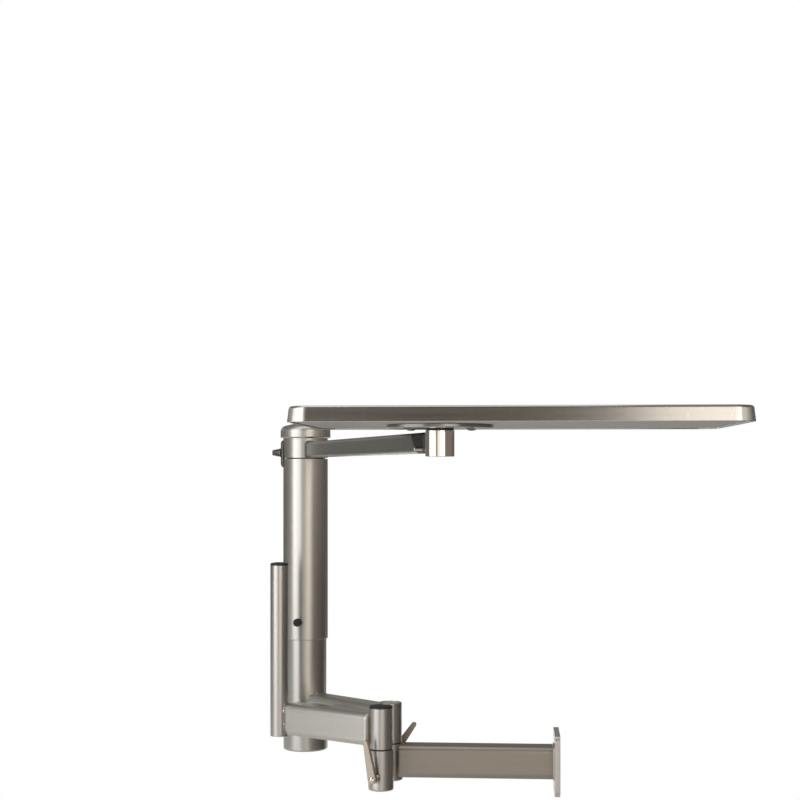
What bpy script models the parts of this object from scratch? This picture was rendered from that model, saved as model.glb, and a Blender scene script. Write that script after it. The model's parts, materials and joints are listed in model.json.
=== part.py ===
"""Instrument table: a swivel tray on a long arm, carried by a telescoping column and two pivoted bars.

Metres, +Z up. The origin is the centre of the base flange's outer face, and +X points out of it.
Heights are measured from the middle of the base arm. Bearings are plan angles from +X.
"""

import math

import bmesh
import bpy
from mathutils import Matrix, Vector

# Fits between pieces
GAP = 0.0003  # between pieces that seat on, turn in or slide in each other
CUT_OVER = 0.002  # how far a cutter runs past the face that it opens
WASHER_THICKNESS = 0.0010
WASHER_SETBACK = 0.0010  # washers stand back from the round face beside them

# Plan of the arms
BASE_ARM_REACH = 0.250  # flange face to rear pivot
PIVOT_SPACING = 0.0546
PIVOT_BEARING = math.radians(260.0)  # from the rear pivot to the front one
REAR_ARM_LENGTH = 0.1927
REAR_ARM_BEARING = math.radians(138.2)
FRONT_ARM_LENGTH = 0.182
FRONT_ARM_BEARING = math.radians(147.1)
TOP_ARM_LENGTH = 0.7126
TOP_ARM_BEARING = math.radians(-70.21)
TRAY_OFFSET = 0.0885  # boss axis to tray centre, along +X

# Flange
FLANGE_SIZE = 0.090
FLANGE_THICKNESS = 0.008
FLANGE_CORNER = 0.010
FLANGE_HOLE_DIAMETER = 0.009
FLANGE_HOLE_SPACING = 0.066

# Bars of rounded rectangular tube: the base arm, the rear bar and the front bar
BAR_HEIGHT = 0.048
BAR_WIDTH = 0.040
BAR_WALL = 0.003
BAR_CORNER = 0.009
BAR_END_ROUND = 0.003
BAR_START = 0.012  # from the pivot axis to the closed end that flanks the barrel
BAR_END_WALL = 0.008
BAR_VENT_DIAMETER = 0.006  # drain hole under a bar that is closed at both ends
REAR_BAR_LIFT = 0.0065  # upper barrel's lower face to the underside of its bar
FRONT_BAR_LIFT = 0.0036

# Pivot barrels
BARREL_DIAMETER = 0.034  # upper barrels
LOWER_BARREL_DIAMETER = 0.037
BARREL_EDGE = 0.0025
BARREL_FLOOR = 0.004
JOINT_HEIGHT = 0.0246  # top face of both lower barrels
UPPER_BARREL_LENGTH = 0.0588
REAR_LOWER_LENGTH = 0.0542
FRONT_LOWER_LENGTH = 0.0584
SPINDLE_DIAMETER = 0.020
SPINDLE_TOP_DEPTH = 0.006  # spindle's top below the upper barrel's top
BUSH_WALL = 0.0020
BRIDGE_WIDTH = 0.016
BRIDGE_HEIGHT = 0.030
CAP_LIP = 0.0030  # wall left round the inset steel cap
STEEL_CAP_THICKNESS = 0.0026
BLACK_CAP_HEIGHT = 0.0034

# Clamp levers
LEVER_LENGTH = 0.0565  # stud axis to the tip
LEVER_HUB_DIAMETER = 0.0130
LEVER_TIP_DIAMETER = 0.0072
LEVER_THICKNESS = 0.0070
LEVER_STANDOFF = 0.0270  # pivot axis to the handle's inner face
STUD_DIAMETER = 0.0080
STUD_HEAD_DIAMETER = 0.0090
STUD_HEAD_HEIGHT = 0.0026
STUD_CROWN_DIAMETER = 0.0054
SPOT_FACE_DIAMETER = 0.0150
SPOT_FACE_DEPTH = 0.0015
FRONT_LEVER_BEARING = math.radians(251.0)
FRONT_LEVER_HEIGHT = -0.0140
FRONT_LEVER_LEAN = math.radians(11.0)
REAR_LEVER_BEARING = math.radians(84.0)
REAR_LEVER_HEIGHT = 0.0045
REAR_LEVER_LEAN = math.radians(35.0)
LEVER_STEPS = 8  # facets round each end of a handle

# Accessory post
POST_DIAMETER = 0.027
POST_WALL = 0.002
POST_BOTTOM = 0.028
POST_LENGTH = 0.258
POST_CAP_HEIGHT = 0.004
POST_PLUG_DEPTH = 0.012
POST_OFFSET = 0.016  # post axis to the front bar's middle line
POST_INSET = 0.0125  # post axis to the end of the front bar, along the bar

# Telescoping column
OUTER_TUBE_DIAMETER = 0.070
OUTER_TUBE_WALL = 0.002
OUTER_TUBE_LENGTH = 0.2821
COLUMN_TOP = 0.4475  # top of the outer tube
INNER_TUBE_WALL = 0.003
INNER_TUBE_LENGTH = 0.3232
COLUMN_FOOT = -0.0084  # underside of the foot cap
FOOT_CAP_RIM = 0.0022
TUBE_PLUG_DEPTH = 0.012
TUBE_PLUG_RIM = 0.003
TUBE_PLUG_WALL = 0.004

# Height clamp on the outer tube
HEIGHT_KNOB_BEARING = math.radians(261.0)
HEIGHT_KNOB_RISE = 0.0285  # above the outer tube's lower end
HEIGHT_KNOB_DIAMETER = 0.0125
HEIGHT_KNOB_LENGTH = 0.0110
HEIGHT_STUD_DIAMETER = 0.006
HEIGHT_BOSS_DIAMETER = 0.0115
HEIGHT_BOSS_HEIGHT = 0.0030
HEIGHT_STUD_GRIP = 0.007  # stud inside the knob

# Arm head on the column
SPIGOT_DEPTH = 0.038
SPIGOT_BORE_DIAMETER = 0.030
JOURNAL_DIAMETER = 0.046
HEAD_BUSH_WALL = 0.0035
COLLAR_HEIGHT = 0.033
NUT_HEIGHT = 0.005
NUT_OVERLAP = 0.003  # nut's rim over the bush
HEAD_CAP_DIAMETER = 0.0785
HEAD_CAP_SIDE = 0.0085
HEAD_CAP_DOME = 0.0070
HEAD_CAP_CHAMFER = 0.0050
HEAD_CAP_FLAT_DIAMETER = 0.044
HEAD_CAP_ROOF = 0.006

# Top arm
TOP_ARM_HEIGHT = 0.0246
TOP_ARM_WIDTH = 0.015
TOP_ARM_WALL = 0.0015
TOP_ARM_CORNER = 0.005
TOP_ARM_LIFT = 0.0001  # collar's lower face to the arm's underside
TOP_ARM_END_UPPER = 0.088  # boss axis to the upper end of the slanted cut
TOP_ARM_END_LOWER = 0.070
BLOCK_FACE = 0.036  # boss axis to the black end block's face
BLOCK_GRIP = 0.045  # end block inside the tube
NECK_HEIGHT = 0.022
NECK_CORNER = 0.004
TENON_WIDTH = 0.008
TENON_HEIGHT = 0.012
TENON_CORNER = 0.002
TENON_LENGTH = 0.030
NECK_PIN_DIAMETER = 0.0047
NECK_PIN_STATION = 0.044  # boss axis to the pin, along the arm
NECK_PIN_DROP = 0.0060  # below the arm's middle
NECK_PIN_PROUD = 0.0098  # pin outside the end block
NECK_PIN_DEPTH = 0.0026  # pin inside the end block

# Tray boss and swivel
BOSS_DIAMETER = 0.033
BOSS_HEIGHT = 0.0299
BOSS_DROP = 0.0041  # boss below the arm's underside
TRAY_SPINDLE_DIAMETER = 0.020
RETAINER_DIAMETER = 0.026
RETAINER_THICKNESS = 0.0020
RETAINER_SETBACK = 0.0008
TRAY_WASHER_THICKNESS = 0.0014
DISC_DIAMETER = 0.1214
DISC_THICKNESS = 0.004
DISC_EDGE = 0.0010
SCREW_CIRCLE_DIAMETER = 0.099
SCREW_DIAMETER = 0.005
SCREW_HEAD_DIAMETER = 0.010
SCREW_HEAD_HEIGHT = 0.0014
SCREW_CROWN_DIAMETER = 0.0070
SCREW_GRIP = 0.004  # screw inside the backing plate
SCREW_COUNT = 4

# Tray
TRAY_LENGTH = 0.486
TRAY_WIDTH = 0.324
TRAY_DEPTH = 0.0170
TRAY_CORNER = 0.018
TRAY_EDGE = 0.0035
TRAY_SHEET = 0.0015
LIP_FLARE = 0.0016  # the lip stands this much wider at its lower edge
LIP_DROP = 0.0012  # lip's lower edge below the disc's upper face
UNDERSIDE_THICKNESS = 0.0012
BACKING_SIZE = 0.130
BACKING_THICKNESS = 0.005

# Index plunger on the collar
PLUNGER_BEARING = math.radians(180.0)
PLUNGER_RISE = 0.0081  # above the collar's lower face
PAD_WIDTH = 0.020
PAD_RISE = 0.0200  # pad above and below the plunger's axis
PAD_FALL = 0.0234
PAD_THICKNESS = 0.0050
PAD_CORNER = 0.007
PLUNGER_PIN_DIAMETER = 0.004
PLUNGER_KNOB_LENGTH = 0.0118
PLUNGER_KNOB_ROOT_DIAMETER = 0.0135
PLUNGER_KNOB_WAIST_DIAMETER = 0.0115
PLUNGER_KNOB_TIP_DIAMETER = 0.0080
PLUNGER_KNOB_ROUND = 0.0012
PLUNGER_PIN_GRIP = 0.008  # pin inside the knob

# Roundness of the solids
COLUMN_SEGMENTS = 32
BARREL_SEGMENTS = 24
SMALL_SEGMENTS = 12
CORNER_STEPS = 3
SHARP_ANGLE = math.radians(32.0)

# Finishes: colour, roughness, metallic
BRUSHED_STEEL = ("A9A49D", 0.34, 1.0)
POLISHED_STEEL = ("C4BFB8", 0.20, 1.0)
DARK_STEEL = ("6B6762", 0.40, 1.0)
BRONZE = ("9A7B4F", 0.45, 1.0)
BLACK_PLASTIC = ("17171A", 0.42, 0.0)
CORE_BOARD = ("8A6F50", 0.80, 0.0)


def linear_colour(hex_colour):
    """Turn an sRGB hex colour into linear values."""
    channels = [int(hex_colour[i:i + 2], 16) / 255.0 for i in (0, 2, 4)]
    return [c / 12.92 if c <= 0.04045 else ((c + 0.055) / 1.055) ** 2.4 for c in channels]


def set_finish(obj, finish):
    """Give an object its own material."""
    hex_colour, roughness, metallic = finish
    material = bpy.data.materials.new(obj.name + "_finish")
    material.use_nodes = True
    shader = material.node_tree.nodes["Principled BSDF"]
    shader.inputs["Base Color"].default_value = (*linear_colour(hex_colour), 1.0)
    shader.inputs["Roughness"].default_value = roughness
    shader.inputs["Metallic"].default_value = metallic
    obj.data.materials.append(material)


def pivot(name, location, bearing=0.0, lean=0.0, parent=None):
    """Make an empty on a joint's axis; its +X runs along the bearing."""
    empty = bpy.data.objects.new(name, None)
    bpy.context.scene.collection.objects.link(empty)
    empty.location = location
    empty.rotation_euler = (lean, 0.0, bearing)
    empty.parent = parent
    return empty


def add_object(name, bm, finish, parent):
    """Turn a finished bmesh into an object; one with no finish is a cutter."""
    bmesh.ops.recalc_face_normals(bm, faces=bm.faces)
    mesh = bpy.data.meshes.new(name)
    bm.to_mesh(mesh)
    bm.free()
    mesh.shade_smooth()
    mesh.set_sharp_from_angle(angle=SHARP_ANGLE)
    obj = bpy.data.objects.new(name, mesh)
    bpy.context.scene.collection.objects.link(obj)
    obj.parent = parent
    if finish is None:
        obj.hide_render = True
        obj.display_type = "WIRE"
    else:
        set_finish(obj, finish)
    return obj


def spin_profile(bm, profile, segments, matrix):
    """Spin a profile of (radius, height) points about Z, then place it."""
    verts = [bm.verts.new((radius, 0.0, height)) for radius, height in profile]
    edges = [bm.edges.new(pair) for pair in zip(verts, verts[1:])]
    if profile[0][0] > 0.0:
        edges.append(bm.edges.new((verts[-1], verts[0])))
    before = set(bm.verts) - set(verts)
    bmesh.ops.spin(bm, geom=verts + edges, cent=(0, 0, 0), axis=(0, 0, 1),
                   angle=2.0 * math.pi, steps=segments, use_merge=True)
    made = [v for v in bm.verts if v not in before]
    bmesh.ops.remove_doubles(bm, verts=made, dist=1e-6)
    made = [v for v in bm.verts if v not in before]
    bmesh.ops.transform(bm, matrix=matrix, verts=made)


ALONG_X = Matrix.Rotation(math.pi / 2.0, 4, "Y")
ALONG_Z = Matrix.Identity(4)


def turned(name, profile, segments, finish, parent, axis=ALONG_Z):
    """One turned piece, spun about its parent's Z axis, or about X with ALONG_X."""
    bm = bmesh.new()
    spin_profile(bm, profile, segments, axis)
    return add_object(name, bm, finish, parent)


def rod(name, radius, low, high, segments, finish, parent, axis=ALONG_Z):
    """A plain round bar from low to high."""
    profile = [(0.0, high), (radius, high), (radius, low), (0.0, low)]
    return turned(name, profile, segments, finish, parent, axis)


def tube(name, outer, inner, low, high, segments, finish, parent, axis=ALONG_Z):
    """A plain round tube from low to high."""
    profile = [(outer, high), (outer, low), (inner, low), (inner, high)]
    return turned(name, profile, segments, finish, parent, axis)


def rounded_rectangle(width, height, radius, steps=CORNER_STEPS):
    """Points of a rectangle with round corners, anticlockwise about its centre."""
    points = []
    for quarter, (sx, sy) in enumerate(((1, 1), (-1, 1), (-1, -1), (1, -1))):
        centre = (sx * (width / 2.0 - radius), sy * (height / 2.0 - radius))
        for step in range(steps + 1):
            angle = (quarter + step / steps) * math.pi / 2.0
            points.append((centre[0] + radius * math.cos(angle), centre[1] + radius * math.sin(angle)))
    return points


def lofted(name, loops, finish, parent):
    """Join loops of equal length into one closed skin, with both ends filled."""
    bm = bmesh.new()
    rings = [[bm.verts.new(point) for point in loop] for loop in loops]
    for ring, following in zip(rings, rings[1:]):
        for i in range(len(ring)):
            j = (i + 1) % len(ring)
            bm.faces.new((ring[i], ring[j], following[j], following[i]))
    bm.faces.new(rings[0])
    bm.faces.new(rings[-1])
    return add_object(name, bm, finish, parent)


def prism(name, outline, low, high, finish, parent, axis="Z"):
    """An outline extruded from low to high along an axis; the outline lies in the other two."""
    place = {"X": lambda a, b, t: (t, a, b),
             "Y": lambda a, b, t: (a, t, b),
             "Z": lambda a, b, t: (a, b, t)}[axis]
    loops = [[place(a, b, t) for a, b in outline] for t in (low, high)]
    return lofted(name, loops, finish, parent)


def subtract(obj, *cutters):
    """Cut pieces out of an object."""
    for tool in cutters:
        modifier = obj.modifiers.new("cut_" + tool.name, "BOOLEAN")
        modifier.operation = "DIFFERENCE"
        modifier.solver = "EXACT"
        modifier.object = tool


def bar(name, start, end, middle, finish, parent, barrel=BARREL_DIAMETER, closed=False):
    """A bar of rounded tube along +X: rounded where it flanks its barrel, open or closed at its end."""
    loops = []
    for x, inset in ((start, BAR_END_ROUND), (start + BAR_END_ROUND, 0.0), (end, 0.0)):
        outline = rounded_rectangle(BAR_WIDTH - 2.0 * inset, BAR_HEIGHT - 2.0 * inset, BAR_CORNER - inset)
        loops.append([(x, y, middle + z) for y, z in outline])
    obj = lofted(name, loops, finish, parent)
    hollow = rounded_rectangle(BAR_WIDTH - 2.0 * BAR_WALL, BAR_HEIGHT - 2.0 * BAR_WALL, BAR_CORNER - BAR_WALL)
    hollow = [(y, middle + z) for y, z in hollow]
    cavity_start = barrel / 2.0 + BAR_END_WALL
    cavity_end = end - BAR_END_WALL if closed else end + CUT_OVER
    cavity = prism(name + "_cavity", hollow, cavity_start, cavity_end, None, parent, "X")
    cope = rod(name + "_cope", barrel / 2.0 + GAP, middle - BAR_HEIGHT, middle + BAR_HEIGHT,
               BARREL_SEGMENTS, None, parent)
    subtract(obj, cavity, cope)
    if closed:
        vent_axis = pivot(name + "_vent_axis", (cavity_end - BAR_CORNER, 0, middle), parent=parent)
        vent = rod(name + "_vent", BAR_VENT_DIAMETER / 2.0, -BAR_HEIGHT, 0.0, SMALL_SEGMENTS, None, vent_axis)
        subtract(obj, vent)
    return obj


def bored_cup(outer, inner, top, bottom, floor, edge):
    """Profile of a round cup that is open at the top, with a rounded lower edge."""
    arc = [(outer - edge + edge * math.sin(a), bottom + edge - edge * math.cos(a))
           for a in (math.pi / 2.0, math.pi / 4.0, 0.0)]
    return [(outer, top)] + arc + [(0.0, bottom), (0.0, bottom + floor), (inner, bottom + floor), (inner, top)]


# Radii, heights and stations worked out from the sizes above
BARREL_RADIUS = BARREL_DIAMETER / 2.0
LOWER_BARREL_RADIUS = LOWER_BARREL_DIAMETER / 2.0
SPINDLE_RADIUS = SPINDLE_DIAMETER / 2.0
BUSH_INNER = SPINDLE_RADIUS + GAP
BUSH_OUTER = BUSH_INNER + BUSH_WALL
LOWER_BORE = BUSH_OUTER + GAP
STUD_RADIUS = STUD_DIAMETER / 2.0
UPPER_BARREL_BOTTOM = JOINT_HEIGHT + WASHER_THICKNESS + 2.0 * GAP
UPPER_BARREL_TOP = UPPER_BARREL_BOTTOM + UPPER_BARREL_LENGTH
REAR_BAR_MIDDLE = UPPER_BARREL_BOTTOM + REAR_BAR_LIFT + BAR_HEIGHT / 2.0
FRONT_BAR_MIDDLE = UPPER_BARREL_BOTTOM + FRONT_BAR_LIFT + BAR_HEIGHT / 2.0

OUTER_RADIUS = OUTER_TUBE_DIAMETER / 2.0
OUTER_BORE = OUTER_RADIUS - OUTER_TUBE_WALL
INNER_RADIUS = OUTER_BORE - GAP
INNER_BORE = INNER_RADIUS - INNER_TUBE_WALL
INNER_BOTTOM = COLUMN_FOOT + FOOT_CAP_RIM + GAP
INNER_TOP = INNER_BOTTOM + INNER_TUBE_LENGTH
OUTER_BOTTOM = COLUMN_TOP - OUTER_TUBE_LENGTH

JOURNAL_RADIUS = JOURNAL_DIAMETER / 2.0
HEAD_BUSH_INNER = JOURNAL_RADIUS + GAP
HEAD_BUSH_OUTER = HEAD_BUSH_INNER + HEAD_BUSH_WALL
COLLAR_BORE = HEAD_BUSH_OUTER + GAP
COLLAR_BOTTOM = COLUMN_TOP + WASHER_THICKNESS + 2.0 * GAP
COLLAR_TOP = COLLAR_BOTTOM + COLLAR_HEIGHT
JOURNAL_TOP = COLLAR_TOP - GAP
CAP_BOTTOM = COLLAR_TOP + GAP

ARM_BOTTOM = COLLAR_BOTTOM + TOP_ARM_LIFT
ARM_TOP = ARM_BOTTOM + TOP_ARM_HEIGHT
ARM_MIDDLE = (ARM_BOTTOM + ARM_TOP) / 2.0

BOSS_RADIUS = BOSS_DIAMETER / 2.0
BOSS_BOTTOM = ARM_BOTTOM - BOSS_DROP
BOSS_TOP = BOSS_BOTTOM + BOSS_HEIGHT
TRAY_SPINDLE_RADIUS = TRAY_SPINDLE_DIAMETER / 2.0
BOSS_BUSH_INNER = TRAY_SPINDLE_RADIUS + GAP
BOSS_BUSH_OUTER = BOSS_BUSH_INNER + BUSH_WALL
RETAINER_BOTTOM = BOSS_BOTTOM + RETAINER_SETBACK
TRAY_SPINDLE_BOTTOM = RETAINER_BOTTOM + RETAINER_THICKNESS + GAP
TRAY_WASHER_BOTTOM = BOSS_TOP + GAP
DISC_BOTTOM = TRAY_WASHER_BOTTOM + TRAY_WASHER_THICKNESS + GAP
DISC_TOP = DISC_BOTTOM + DISC_THICKNESS
UNDERSIDE_BOTTOM = DISC_TOP + GAP
CORE_BOTTOM = UNDERSIDE_BOTTOM + UNDERSIDE_THICKNESS + GAP
TRAY_BOTTOM = DISC_TOP - LIP_DROP
TRAY_TOP = TRAY_BOTTOM + TRAY_DEPTH
CORE_TOP = TRAY_TOP - TRAY_SHEET - GAP

PLUNGER_HEIGHT = COLLAR_BOTTOM + PLUNGER_RISE
PAD_INNER = OUTER_RADIUS + GAP
PAD_OUTER = PAD_INNER + PAD_THICKNESS
PLUNGER_PIN_RADIUS = PLUNGER_PIN_DIAMETER / 2.0


def build_base(rear_axis, front_axis):
    """The fixed base: flange, base arm, both lower barrels and their bushes."""
    outline = rounded_rectangle(FLANGE_SIZE, FLANGE_SIZE, FLANGE_CORNER)
    flange = prism("base_flange", outline, -FLANGE_THICKNESS, 0.0, BRUSHED_STEEL, None, "X")
    for index, (sy, sz) in enumerate(((1, 1), (-1, 1), (-1, -1), (1, -1))):
        centre = pivot("flange_hole_%d_axis" % index,
                       (0.0, sy * FLANGE_HOLE_SPACING / 2.0, sz * FLANGE_HOLE_SPACING / 2.0))
        hole = rod("flange_hole_%d" % index, FLANGE_HOLE_DIAMETER / 2.0, -FLANGE_THICKNESS - CUT_OVER,
                   CUT_OVER, SMALL_SEGMENTS, None, centre, ALONG_X)
        subtract(flange, hole)

    arm_end = BASE_ARM_REACH - FLANGE_THICKNESS - GAP
    bar("base_arm", BAR_START, arm_end, 0.0, BRUSHED_STEEL, rear_axis, LOWER_BARREL_DIAMETER)

    bridge_outline = rounded_rectangle(BRIDGE_WIDTH, BRIDGE_HEIGHT, BRIDGE_WIDTH / 4.0, 2)
    bridge_axis = pivot("bridge_axis", (0, 0, 0), PIVOT_BEARING, parent=rear_axis)
    inside = LOWER_BARREL_RADIUS / 2.0
    bridge = prism("barrel_bridge", bridge_outline, inside, PIVOT_SPACING - inside, BRUSHED_STEEL,
                   bridge_axis, "X")
    far_axis = pivot("bridge_far_axis", (PIVOT_SPACING, 0, 0), parent=bridge_axis)
    for label, axis in (("near", bridge_axis), ("far", far_axis)):
        cope = rod("bridge_cope_" + label, LOWER_BARREL_RADIUS + GAP, -BRIDGE_HEIGHT, BRIDGE_HEIGHT,
                   BARREL_SEGMENTS, None, axis)
        subtract(bridge, cope)

    build_lower_barrel("rear", rear_axis, REAR_LOWER_LENGTH, REAR_LEVER_BEARING, REAR_LEVER_HEIGHT)
    build_lower_barrel("front", front_axis, FRONT_LOWER_LENGTH, FRONT_LEVER_BEARING, FRONT_LEVER_HEIGHT)


def build_lower_barrel(side, axis, length, lever_bearing, lever_height):
    """A lower barrel with its bush, thrust washer and the pad that the lever presses."""
    bottom = JOINT_HEIGHT - length
    profile = bored_cup(LOWER_BARREL_RADIUS, LOWER_BORE, JOINT_HEIGHT, bottom, BARREL_FLOOR, BARREL_EDGE)
    barrel = turned(side + "_lower_barrel", profile, BARREL_SEGMENTS, BRUSHED_STEEL, axis)
    bush = tube(side + "_bush", BUSH_OUTER, BUSH_INNER, bottom + BARREL_FLOOR + GAP, JOINT_HEIGHT,
                BARREL_SEGMENTS, BRONZE, axis)
    washer_bottom = JOINT_HEIGHT + GAP
    tube(side + "_thrust_washer", BARREL_RADIUS - WASHER_SETBACK, BUSH_INNER, washer_bottom,
         washer_bottom + WASHER_THICKNESS, BARREL_SEGMENTS, BLACK_PLASTIC, axis)

    clamp_axis = pivot(side + "_clamp_axis", (0, 0, lever_height), lever_bearing, parent=axis)
    hole = rod(side + "_stud_hole", STUD_RADIUS + GAP, SPINDLE_RADIUS / 2.0, LOWER_BARREL_RADIUS + CUT_OVER,
               SMALL_SEGMENTS, None, clamp_axis, ALONG_X)
    spot_face = rod(side + "_spot_face", SPOT_FACE_DIAMETER / 2.0, LOWER_BARREL_RADIUS - SPOT_FACE_DEPTH,
                    LOWER_BARREL_RADIUS + CUT_OVER, SMALL_SEGMENTS, None, clamp_axis, ALONG_X)
    subtract(barrel, hole, spot_face)
    subtract(bush, hole)
    rod(side + "_clamp_pad", STUD_RADIUS, BUSH_INNER + GAP, LOWER_BORE, SMALL_SEGMENTS, BRONZE,
        clamp_axis, ALONG_X)


def build_upper_barrel(side, axis, lower_length, finish):
    """An upper barrel and the spindle that turns in the lower one."""
    recess = STEEL_CAP_THICKNESS + 2.0 * GAP
    bore = SPINDLE_RADIUS + GAP
    seat = BARREL_RADIUS - CAP_LIP
    profile = [(BARREL_RADIUS, UPPER_BARREL_TOP), (BARREL_RADIUS, UPPER_BARREL_BOTTOM),
               (bore, UPPER_BARREL_BOTTOM), (bore, UPPER_BARREL_TOP - recess),
               (seat, UPPER_BARREL_TOP - recess), (seat, UPPER_BARREL_TOP)]
    turned(side + "_upper_barrel", profile, BARREL_SEGMENTS, finish, axis)
    low = JOINT_HEIGHT - lower_length + BARREL_FLOOR + GAP
    rod(side + "_spindle", SPINDLE_RADIUS, low, UPPER_BARREL_TOP - SPINDLE_TOP_DEPTH, BARREL_SEGMENTS,
        DARK_STEEL, axis)
    return seat - GAP


def build_table_arm(axis, column_axis):
    """The rear bar with its upper barrel, and the column's inner tube that it carries."""
    cap_radius = build_upper_barrel("rear", axis, REAR_LOWER_LENGTH, BRUSHED_STEEL)
    cap_top = UPPER_BARREL_TOP - GAP
    rod("rear_barrel_cap", cap_radius, cap_top - STEEL_CAP_THICKNESS, cap_top, BARREL_SEGMENTS,
        POLISHED_STEEL, axis)

    bar_end = REAR_ARM_LENGTH - BAR_WIDTH / 2.0
    rear_bar = bar("rear_bar", BAR_START, bar_end, REAR_BAR_MIDDLE, BRUSHED_STEEL, axis)
    cope = rod("column_cope", INNER_RADIUS + GAP, REAR_BAR_MIDDLE - BAR_HEIGHT, REAR_BAR_MIDDLE + BAR_HEIGHT,
               COLUMN_SEGMENTS, None, column_axis)
    subtract(rear_bar, cope)

    tube("column_inner_tube", INNER_RADIUS, INNER_BORE, INNER_BOTTOM, INNER_TOP, COLUMN_SEGMENTS,
         BRUSHED_STEEL, column_axis)
    rim_top = COLUMN_FOOT + FOOT_CAP_RIM
    foot = [(0.0, rim_top), (INNER_BORE - GAP - TUBE_PLUG_WALL, rim_top),
            (INNER_BORE - GAP - TUBE_PLUG_WALL, rim_top + TUBE_PLUG_DEPTH),
            (INNER_BORE - GAP, rim_top + TUBE_PLUG_DEPTH), (INNER_BORE - GAP, rim_top),
            (INNER_RADIUS, rim_top), (INNER_RADIUS - FOOT_CAP_RIM / 2.0, COLUMN_FOOT), (0.0, COLUMN_FOOT)]
    turned("column_foot_cap", foot, COLUMN_SEGMENTS, BRUSHED_STEEL, column_axis)
    rim_low = INNER_TOP + GAP
    plug = [(0.0, rim_low + TUBE_PLUG_RIM), (INNER_RADIUS, rim_low + TUBE_PLUG_RIM), (INNER_RADIUS, rim_low),
            (INNER_BORE - GAP, rim_low), (INNER_BORE - GAP, rim_low - TUBE_PLUG_DEPTH),
            (INNER_BORE - GAP - TUBE_PLUG_WALL, rim_low - TUBE_PLUG_DEPTH),
            (INNER_BORE - GAP - TUBE_PLUG_WALL, rim_low), (0.0, rim_low)]
    turned("inner_tube_plug", plug, COLUMN_SEGMENTS, BLACK_PLASTIC, column_axis)


def build_accessory_arm(axis, post_axis):
    """The front bar with its upper barrel, black cap and the bare post."""
    seat = build_upper_barrel("front", axis, FRONT_LOWER_LENGTH, BRUSHED_STEEL)
    low = UPPER_BARREL_TOP + GAP
    plug_low = UPPER_BARREL_TOP - STEEL_CAP_THICKNESS
    edge = BLACK_CAP_HEIGHT / 2.0
    cap = [(0.0, low + BLACK_CAP_HEIGHT), (BARREL_RADIUS - edge, low + BLACK_CAP_HEIGHT),
           (BARREL_RADIUS, low + edge), (BARREL_RADIUS, low), (seat, low), (seat, plug_low), (0.0, plug_low)]
    turned("front_barrel_cap", cap, BARREL_SEGMENTS, BLACK_PLASTIC, axis)

    bar_end = FRONT_ARM_LENGTH - POST_INSET
    front_bar = bar("front_bar", BAR_START, bar_end, FRONT_BAR_MIDDLE, BRUSHED_STEEL, axis, closed=True)
    post_radius = POST_DIAMETER / 2.0
    cope = rod("post_cope", post_radius + GAP, FRONT_BAR_MIDDLE - BAR_HEIGHT, FRONT_BAR_MIDDLE + BAR_HEIGHT,
               BARREL_SEGMENTS, None, post_axis)
    subtract(front_bar, cope)

    bore = post_radius - POST_WALL
    top = POST_BOTTOM + POST_LENGTH
    tube("accessory_post", post_radius, bore, POST_BOTTOM, top, BARREL_SEGMENTS, BRUSHED_STEEL, post_axis)
    low = top + GAP
    edge = POST_CAP_HEIGHT / 2.0
    cap = [(0.0, low + POST_CAP_HEIGHT), (post_radius - edge, low + POST_CAP_HEIGHT), (post_radius, low + edge),
           (post_radius, low), (bore - GAP, low), (bore - GAP, low - POST_PLUG_DEPTH),
           (0.0, low - POST_PLUG_DEPTH)]
    turned("post_cap", cap, BARREL_SEGMENTS, BLACK_PLASTIC, post_axis)


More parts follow.
